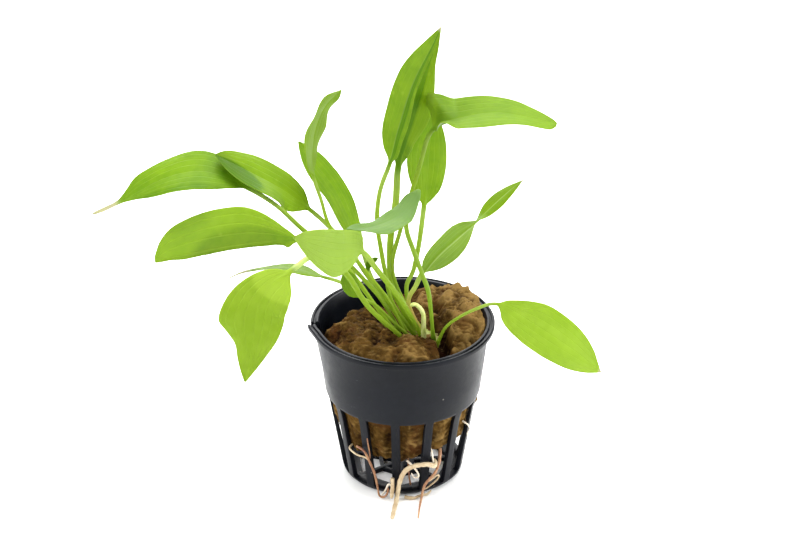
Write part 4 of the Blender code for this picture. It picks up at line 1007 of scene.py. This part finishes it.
pot = {
    "sides": 168,
    "inside": [(1, 1.2), (13.2, 1.2), (15.3, 1.6), (16.2, 2.6), (20.1, 23.6), (21.2, 27), (22.9, 43.5),
               (23.4, 47.5)],
    "rim": [(23.8, 48), (24.4, 48), (24.6, 47.5), (25, 47.5), (25.2, 48), (25.6, 48), (25.9, 47.7),
            (25.9, 46.8), (24.5, 46.4)],
    "outside": [(24.2, 45.4), (23.1, 35), (22.2, 27.4), (21.2, 24.2), (17.6, 2.6), (17.2, 1.2), (16.3, 0.3),
                (15.2, 0), (1, 0)],
    "firstBar": -5.6,      # degrees from the front
    # how many slots, the bar between them, from and to this radius, from and to this height
    "wallSlots": (14, 2.5, 14.5, 25, 2.0, 26.5),
    "floorSlots": (7, 1.5, 7.4, 13.6, -1, 1.7),
    "middleSlots": (7, 1.5, 3.6, 6.3, -1, 1.7),
    "corner": 0.35,
    "crack": (184, 1.1, 3.2),      # degrees, width and depth
    "crackPoint": 0.24,            # its width at the bottom
    "crackCutter": (21, 28, 50),   # from and to this radius, and up to this height
    "standsOut": (0.9, 9),         # mm past the round, and over how many degrees
    "standsOutOver": (41, 47.5),   # heights
    "standsDown": 0.35,            # mm down for each mm out
    "edge": 0.12,
    "edgeAngle": 38,
    "smoothAngle": 35,
}


def turnPot():
    outline = [*pot["inside"], *pot["rim"], *pot["outside"]]
    radius, height = outline[0]
    bpy.ops.object.select_all(action="DESELECT")
    bpy.ops.mesh.primitive_circle_add(vertices=pot["sides"], radius=radius * mm, location=(0, 0, height * mm))
    bpy.ops.object.transform_apply(location=True)
    shell = bpy.context.object
    shell.name = "netPot"
    bpy.ops.object.mode_set(mode="EDIT")
    bpy.ops.mesh.select_all(action="SELECT")
    for (radius, height), (wider, higher) in zip(outline, outline[1:]):
        grow = wider / radius
        bpy.ops.mesh.extrude_region_move(TRANSFORM_OT_translate={"value": (0, 0, (higher - height) * mm)})
        bpy.ops.transform.resize(value=(grow, grow, 1), center_override=(0, 0, higher * mm))
    bpy.ops.mesh.select_all(action="SELECT")
    closeMesh()
    return shell


def slotCutter(count, bar, inner, outer, low, high):
    # A wedge whose sides lie along the two bars beside a slot, with its four long edges rounded.
    step = math.pi / count
    bpy.ops.object.select_all(action="DESELECT")
    bpy.ops.mesh.primitive_cube_add(size=1, location=(0, 0, 0))
    wedge = bpy.context.object
    for vert in wedge.data.vertices:
        radius = outer if vert.co.y < 0 else inner
        half = radius * math.sin(step) - bar / 2 * math.cos(step)
        height = high if vert.co.z > 0 else low
        vert.co = Vector((math.copysign(half, vert.co.x), -radius * math.cos(step), height)) * mm
    editLongEdges(wedge, 1)
    bpy.ops.mesh.bevel(offset=pot["corner"] * mm, segments=3)
    leaveEdges()
    return wedge


def ringOfCutters(count, bar, *reach):
    # One copy of the wedge for each slot, joined in one cutter.
    wedge = slotCutter(count, bar, *reach)
    copies = []
    for slot in range(count):
        turn = math.radians(pot["firstBar"]) + (slot + 0.5) * math.tau / count
        copies.append(placedCopy(wedge, Matrix.Rotation(turn, 4, "Z")))
    return joinCopies(wedge, copies)


def crackCutter():
    # A splinter-shaped notch: wide at the rim's top, closing to a point below.
    angle, width, depth = pot["crack"]
    near, far, high = pot["crackCutter"]
    low = pot["rim"][0][1] - depth
    bpy.ops.object.select_all(action="DESELECT")
    bpy.ops.mesh.primitive_cube_add(size=1, location=(0, 0, 0))
    notch = bpy.context.object
    for vert in notch.data.vertices:
        above = vert.co.z > 0
        half = (width if above else pot["crackPoint"]) / 2
        away = far if vert.co.x > 0 else near
        vert.co = Vector((away, math.copysign(half, vert.co.y), high if above else low)) * mm
    notch.data.transform(Matrix.Rotation(math.radians(angle), 4, "Z"))
    return notch


def cutAway(piece, cutter):
    bpy.context.view_layer.objects.active = piece
    boolean = piece.modifiers.new("cut", "BOOLEAN")
    boolean.operation = "DIFFERENCE"
    boolean.object = cutter
    bpy.ops.object.modifier_apply(modifier="cut")
    bpy.data.objects.remove(cutter)


def standOut(piece):
    # The rim's broken end in front of the crack has sprung outwards.
    angle = math.radians(pot["crack"][0])
    out, reach = pot["standsOut"]
    low, high = pot["standsOutOver"]
    for vert in piece.data.vertices:
        past = math.degrees((math.atan2(vert.co.y, vert.co.x) - angle) % math.tau)
        if past < 3 * reach and vert.co.z > low * mm:
            push = out * math.exp(-(past / reach) ** 2) * ease(vert.co.z / mm, low, high)
            away = Vector((vert.co.x, vert.co.y, 0)).normalized()
            away.z = -pot["standsDown"]
            vert.co += away * push * mm


def makePot():
    shell = turnPot()
    for slots in ("wallSlots", "floorSlots", "middleSlots"):
        cutAway(shell, ringOfCutters(*pot[slots]))
    cutAway(shell, crackCutter())
    standOut(shell)
    pickOnly(shell)
    bevel = shell.modifiers.new("edge", "BEVEL")
    bevel.width = pot["edge"] * mm
    bevel.segments = 2
    bevel.limit_method = "ANGLE"
    bevel.angle_limit = math.radians(pot["edgeAngle"])
    bpy.ops.object.modifier_apply(modifier="edge")
    bpy.ops.object.shade_smooth_by_angle(angle=math.radians(pot["smoothAngle"]))
    return dress(shell, blackPlastic, "net_pot")


makePot()
print("pot made")


# The mineral wool

wool = {
    "seed": 4,
    "segments": 280,
    "rings": 220,
    "topShare": 0.5,                # of the rings, from the top's middle to its edge
    "footShare": 0.82,
    "edge": (23, 46),               # radius and height of the top's edge
    "shoulder": 44.5,
    "foot": 10.9,
    "rightRise": 2,                 # how much higher the underside is at the right
    # x, y and height of the top, as humps and hollows
    "tops": [
        (-19, -9, 46.6), (-14.5, -15, 47.8), (-8, -19.5, 48.2), (-1, -21, 48.8), (5, -21, 49.6),
        (8, -18, 50.2), (-12, -6, 48.2), (-17.5, 0, 47.6), (-13, 7, 48.5), (-5, -7.5, 48.8),
        (-1.5, -10.5, 49), (-8, 0, 47.4), (-21.5, 1, 44), (-20.5, 8, 37), (-15, 15, 34), (-9, 19.5, 35),
        (-3, 17, 43.5), (3, 20, 46.6), (9, 19, 48), (14, 14, 49.6), (18.5, 9, 50), (15, 3, 50),
        (19.5, 0, 47.6), (18.5, -9, 46.4), (15, -12.5, 46.6), (14.5, -18, 45.5), (3, -13, 49.9),
        (7, -13.5, 48.6), (3, -6.6, 45), (0, 3, 46.6), (4, 9, 46.2), (9, 10, 48),
    ],
    "hump": 3.4,
    "cleft": [(8.6, 8), (10.6, 1), (11, -6), (11.4, -14), (11.8, -24)],
    "cleftSize": (3.2, 6.5),        # half width and depth
    "cleftSway": (2.2, 0.3),        # mm, and the noise's scale
    "cleftBehind": 0.35,            # how much of its depth it keeps behind
    "cleftOver": (-1, 9),           # mm towards the front over which it gets its whole depth
    "tuft": (84.4, 22.5, 2.0),      # degrees from the front, height, how far it stands out
    "tuftSize": (3.4, 2.8),         # degrees and mm
    "overRim": (48, 26, 1.6),       # degrees from +X, reach in degrees, how far over the rim
    "topGap": 0.3,                  # between the top's edge and the wall
    "wallGap": 0.35,                # where the top lies low
    "sideGap": (0.55, 0.45),        # behind a bar, and how much less in a slot
    "footGap": 0.9,
    "edgeDrop": (2.5, 1.6, 18.5),   # mm at the top's edge, less over the rim, from this radius
    "slotTop": 26,
    "ragged": (2, 8, 1.4, 0.2),     # the underside's edge, how steep, its lumps and their scale
    "spread": 0.35,                 # how far sideways the top's lumps go
    "calm": (1.0, 0.25, 0.4, 0.8),  # share of the relief: top, side, more in a slot, underside
    "warp": (1.6, 0.22),            # mm and scale of each noise
    "clumps": (1.5, 0.24),
    "strands": 0.45,
    "strandScale": (0.4, 0.8, 0.6),
    "fine": (0.16, 1.5),
    "mostRelief": 1.2,              # on the side and below, so that the wool stays inside the wall
    "shadedHollows": (42, 5),             # painted shade: the top is darker below this height, over so many mm
    "litRight": (0.35, 6, 15),      # how much paler, and over which x
    "dimLeft": (0.25, -6, 6),       # how much darker, and over which -x
}


def innerWall(height):
    places = [place for place in pot["inside"] if place[1] > 2]
    for (radius, low), (wider, high) in zip(places, places[1:]):
        if height <= high:
            return radius + (wider - radius) * (height - low) / (high - low)
    return places[-1][0]


def onRound(radius, turn, height=0.0):
    return Vector((radius * math.cos(turn), radius * math.sin(turn), height))


def topHeight(x, y):
    total = weight = 0.0
    for atX, atY, height in wool["tops"]:
        near = math.exp(-((x - atX) ** 2 + (y - atY) ** 2) / (2 * wool["hump"] ** 2))
        total += near * height
        weight += near
    return total / weight


def cleftAt(x, y):
    # 1 in the middle of the cleft, 0 outside it.
    half = wool["cleftSize"][0]
    sway, scale = wool["cleftSway"]
    nearest = half
    point = Vector((x + sway * noise.noise(Vector((x, y, 3)) * scale), y))
    for first, last in zip(wool["cleft"], wool["cleft"][1:]):
        first, last = Vector(first), Vector(last)
        along = last - first
        share = min(max((point - first).dot(along) / along.length_squared, 0), 1)
        nearest = min(nearest, (point - first - along * share).length)
    behind = wool["cleftBehind"]
    return ease(1 - nearest / half) * (behind + (1 - behind) * ease(-y, *wool["cleftOver"]))


# The next three give a place on one part of the plug, the way out of it there, how much of the relief
# it has and how deep in the cleft it is. They take the way round, and a share of the part.

def woolTop(turn, share):
    angle, reach, over = wool["overRim"]
    lap = math.exp(-(((math.degrees(turn) - angle) / reach) ** 4))
    edge = innerWall(wool["edge"][1]) - wool["topGap"]
    radius = (edge + over * lap) * share
    x, y, _ = onRound(radius, turn)
    cleft = cleftAt(x, y)
    drop, less, start = wool["edgeDrop"]
    height = topHeight(x, y) - wool["cleftSize"][1] * cleft - (drop - less * lap) * ease(radius, start, edge)
    widest = innerWall(height) - wool["wallGap"] + over * lap
    inwards = min(1, widest / max(radius, 1))
    outward = onRound(wool["spread"], turn, 1)
    return Vector((x * inwards, y * inwards, height)), outward, wool["calm"][0], cleft


def woolSide(turn, share, under):
    edge = onRound(wool["edge"][0], turn)
    shoulder = min(wool["shoulder"], topHeight(edge.x, edge.y) - wool["edgeDrop"][0])
    height = shoulder - share * (shoulder - under - 2)
    fromFront = math.degrees((turn + math.pi / 2) % math.tau)
    slot = math.cos(math.radians(fromFront - pot["firstBar"]) * pot["wallSlots"][0])
    inSlot = ease(-slot, -0.3, 0.9) * ease(wool["slotTop"] - height, 0, 3)
    gap, less = wool["sideGap"]
    radius = innerWall(height) - gap + less * inSlot
    angle, at, out = wool["tuft"]
    wide, tall = wool["tuftSize"]
    radius += out * math.exp(-((fromFront - angle) / wide) ** 4 - ((height - at) / tall) ** 2)
    calm, more = wool["calm"][1:3]
    return onRound(radius, turn, height), onRound(1, turn), calm + more * inSlot, 0.0


def woolUnderside(turn, share, under):
    place = onRound((innerWall(under + 1) - wool["footGap"]) * share, turn)
    lip, steep, lumps, scale = wool["ragged"]
    ragged = lip * share ** steep + lumps * noise.noise(place * scale)
    place.z = wool["foot"] + (under - wool["foot"]) * share + ragged
    return place, Vector((0, 0, -1)), wool["calm"][3], 0.0


def woolPlace(ball):
    # Where a place on the unit ball goes on the plug, and how far it stands out or lies back there, with
    # painted light and shade added: paler to the right and where it stands out, darker to the left, in the
    # cleft and in the low hollows.
    polar = math.acos(max(-1.0, min(1.0, ball.z))) / math.pi
    turn = math.atan2(ball.y, ball.x)
    top, foot = wool["topShare"], wool["footShare"]
    under = wool["foot"] + wool["rightRise"] * ease(math.cos(turn + 0.4), 0.4, 0.8)
    if polar < top:
        place, outward, calm, cleft = woolTop(turn, polar / top)
    elif polar < foot:
        place, outward, calm, cleft = woolSide(turn, (polar - top) / (foot - top), under)
    else:
        place, outward, calm, cleft = woolUnderside(turn, (1 - polar) / (1 - foot), under)
    warp, scale = wool["warp"]
    warped = place + warp * noise.noise_vector(place * scale)
    clump, scale = wool["clumps"]
    clumps = noise.fractal(warped * scale, 1.0, 2.0, 3)
    drawn = Vector(part * size for part, size in zip(warped, wool["strandScale"]))
    strands = wool["strands"] * (1 - 2 * abs(noise.noise(drawn + Vector((0, 0, 5)))))
    fineness, scale = wool["fine"]
    fine = noise.fractal(warped * scale, 0.8, 2.1, 3)
    relief = clump * clumps + strands * (1 - cleft) + fineness * fine
    if polar >= top:
        relief = min(relief, wool["mostRelief"])
    below, over = wool["shadedHollows"]
    # painted shade: darker in the cleft and in the low hollows of the top; painted light to the right,
    # painted shade to the left
    deep = 2 * cleft + ease(below - place.z, 0, over) * (polar < top)
    paler, *rightwards = wool["litRight"]
    darker, *leftwards = wool["dimLeft"]
    lit = paler * ease(place.x, *rightwards) - darker * ease(-place.x, *leftwards)
    return place + outward * relief * calm, 0.8 * clumps + 0.35 * fine + strands + lit - deep


def makeWool():
    noise.seed_set(wool["seed"])
    bpy.ops.object.select_all(action="DESELECT")
    bpy.ops.mesh.primitive_uv_sphere_add(segments=wool["segments"], ring_count=wool["rings"], radius=1,
                                         location=(0, 0, 0))
    plug = bpy.context.object
    plug.name = "woolPlug"
    layer = plug.data.attributes.new("relief", "FLOAT", "POINT")
    for vert, item in zip(plug.data.vertices, layer.data):
        place, item.value = woolPlace(vert.co)
        vert.co = place * mm
    bpy.ops.object.shade_smooth()
    return dress(plug, stainedWool, "rockwool_plug")


woolPlug = makeWool()
print("wool made")


fibres = {
    "seed": 11,
    "count": 900,
    "length": 3.2,
    "radius": 0.035,
    "cuts": 5,
    "bow": 0.5,
    "taper": 0.7,
    "above": 44,            # heights of the wool that carries them, and in the slots
    "inSlots": (16, 25),
    "upright": 0.7,         # less than 1 lies flatter
    "lean": (-0.15, 0.25),
    "roll": 0.9,
    "sizes": (0.35, 1.2),
    "sunk": 0.1,
}


def oneFibre():
    # A thin bowed fibre, with tapered ends.
    bpy.ops.object.select_all(action="DESELECT")
    bpy.ops.mesh.primitive_cylinder_add(vertices=4, radius=fibres["radius"] * mm, depth=fibres["length"] * mm,
                                        location=(0, 0, 0))
    fibre = bpy.context.object
    editLongEdges(fibre, 2)
    bpy.ops.mesh.subdivide(number_cuts=fibres["cuts"])
    leaveEdges()
    half = fibres["length"] / 2 * mm
    for vert in fibre.data.vertices:
        share = vert.co.z / half
        thin = 1 - fibres["taper"] * share ** 4
        vert.co.x = vert.co.x * thin + fibres["bow"] * mm * (1 - share ** 2)
        vert.co.y *= thin
    return fibre


def fibrePlace(spot):
    # Nearly along the wool's surface at this spot, turned, leant and stretched at random.
    normal = spot.normal
    way = Vector((random.gauss(0, 1), random.gauss(0, 1), random.gauss(0, fibres["upright"])))
    way = way.cross(normal).normalized()
    lean = (way + normal * random.uniform(*fibres["lean"])).normalized()
    side = normal.cross(lean)
    turn = Matrix((side, lean.cross(side), lean)).transposed()
    roll = Matrix.Rotation(random.uniform(-fibres["roll"], fibres["roll"]), 3, lean)
    turn = roll @ turn @ Matrix.Rotation(-math.pi / 2, 3, "Z")
    stretch = Matrix.Diagonal((1, 1, random.uniform(*fibres["sizes"]), 1))
    return Matrix.Translation(spot.co - normal * fibres["sunk"] * mm) @ turn.to_4x4() @ stretch


def makeFibres():
    # One fibre, copied all over the wool's top and slots, and joined.
    random.seed(fibres["seed"])
    fibre = oneFibre()
    above, (low, high) = fibres["above"] * mm, fibres["inSlots"]
    spots = [v for v in woolPlug.data.vertices if v.co.z > above or low * mm < v.co.z < high * mm]
    copies = [placedCopy(fibre, fibrePlace(random.choice(spots))) for _ in range(fibres["count"])]
    joined = joinCopies(fibre, copies)
    joined.name = "woolFibres"
    bpy.ops.object.shade_smooth()
    return dress(joined, woolFibre)


makeFibres()
print("fibres made")


# The crown that the stalks rise from

crown = {"at": (3.2, -6.8, 44.9), "radii": (6.8, 6.2, 2.0), "ridges": 26, "ridge": 0.07, "lumps": (0.1, 2.4)}


def makeCrown():
    bpy.ops.object.select_all(action="DESELECT")
    bpy.ops.mesh.primitive_uv_sphere_add(segments=104, ring_count=40, radius=1, location=(0, 0, 0))
    base = bpy.context.object
    base.name = "crownBase"
    lumps, scale = crown["lumps"]
    for vert in base.data.vertices:
        turn = math.atan2(vert.co.y, vert.co.x)
        ridge = 1 + crown["ridge"] * math.cos(crown["ridges"] * turn) * (1 - vert.co.z ** 2)
        lump = 1 + lumps * noise.noise(vert.co * scale)
        shaped = Vector(c * r for c, r in zip(vert.co, crown["radii"])) * ridge * lump
        vert.co = (Vector(crown["at"]) + shaped) * mm
    bpy.ops.object.shade_smooth()
    return dress(base, crownFlesh, "crown")


makeCrown()
print("crown made")
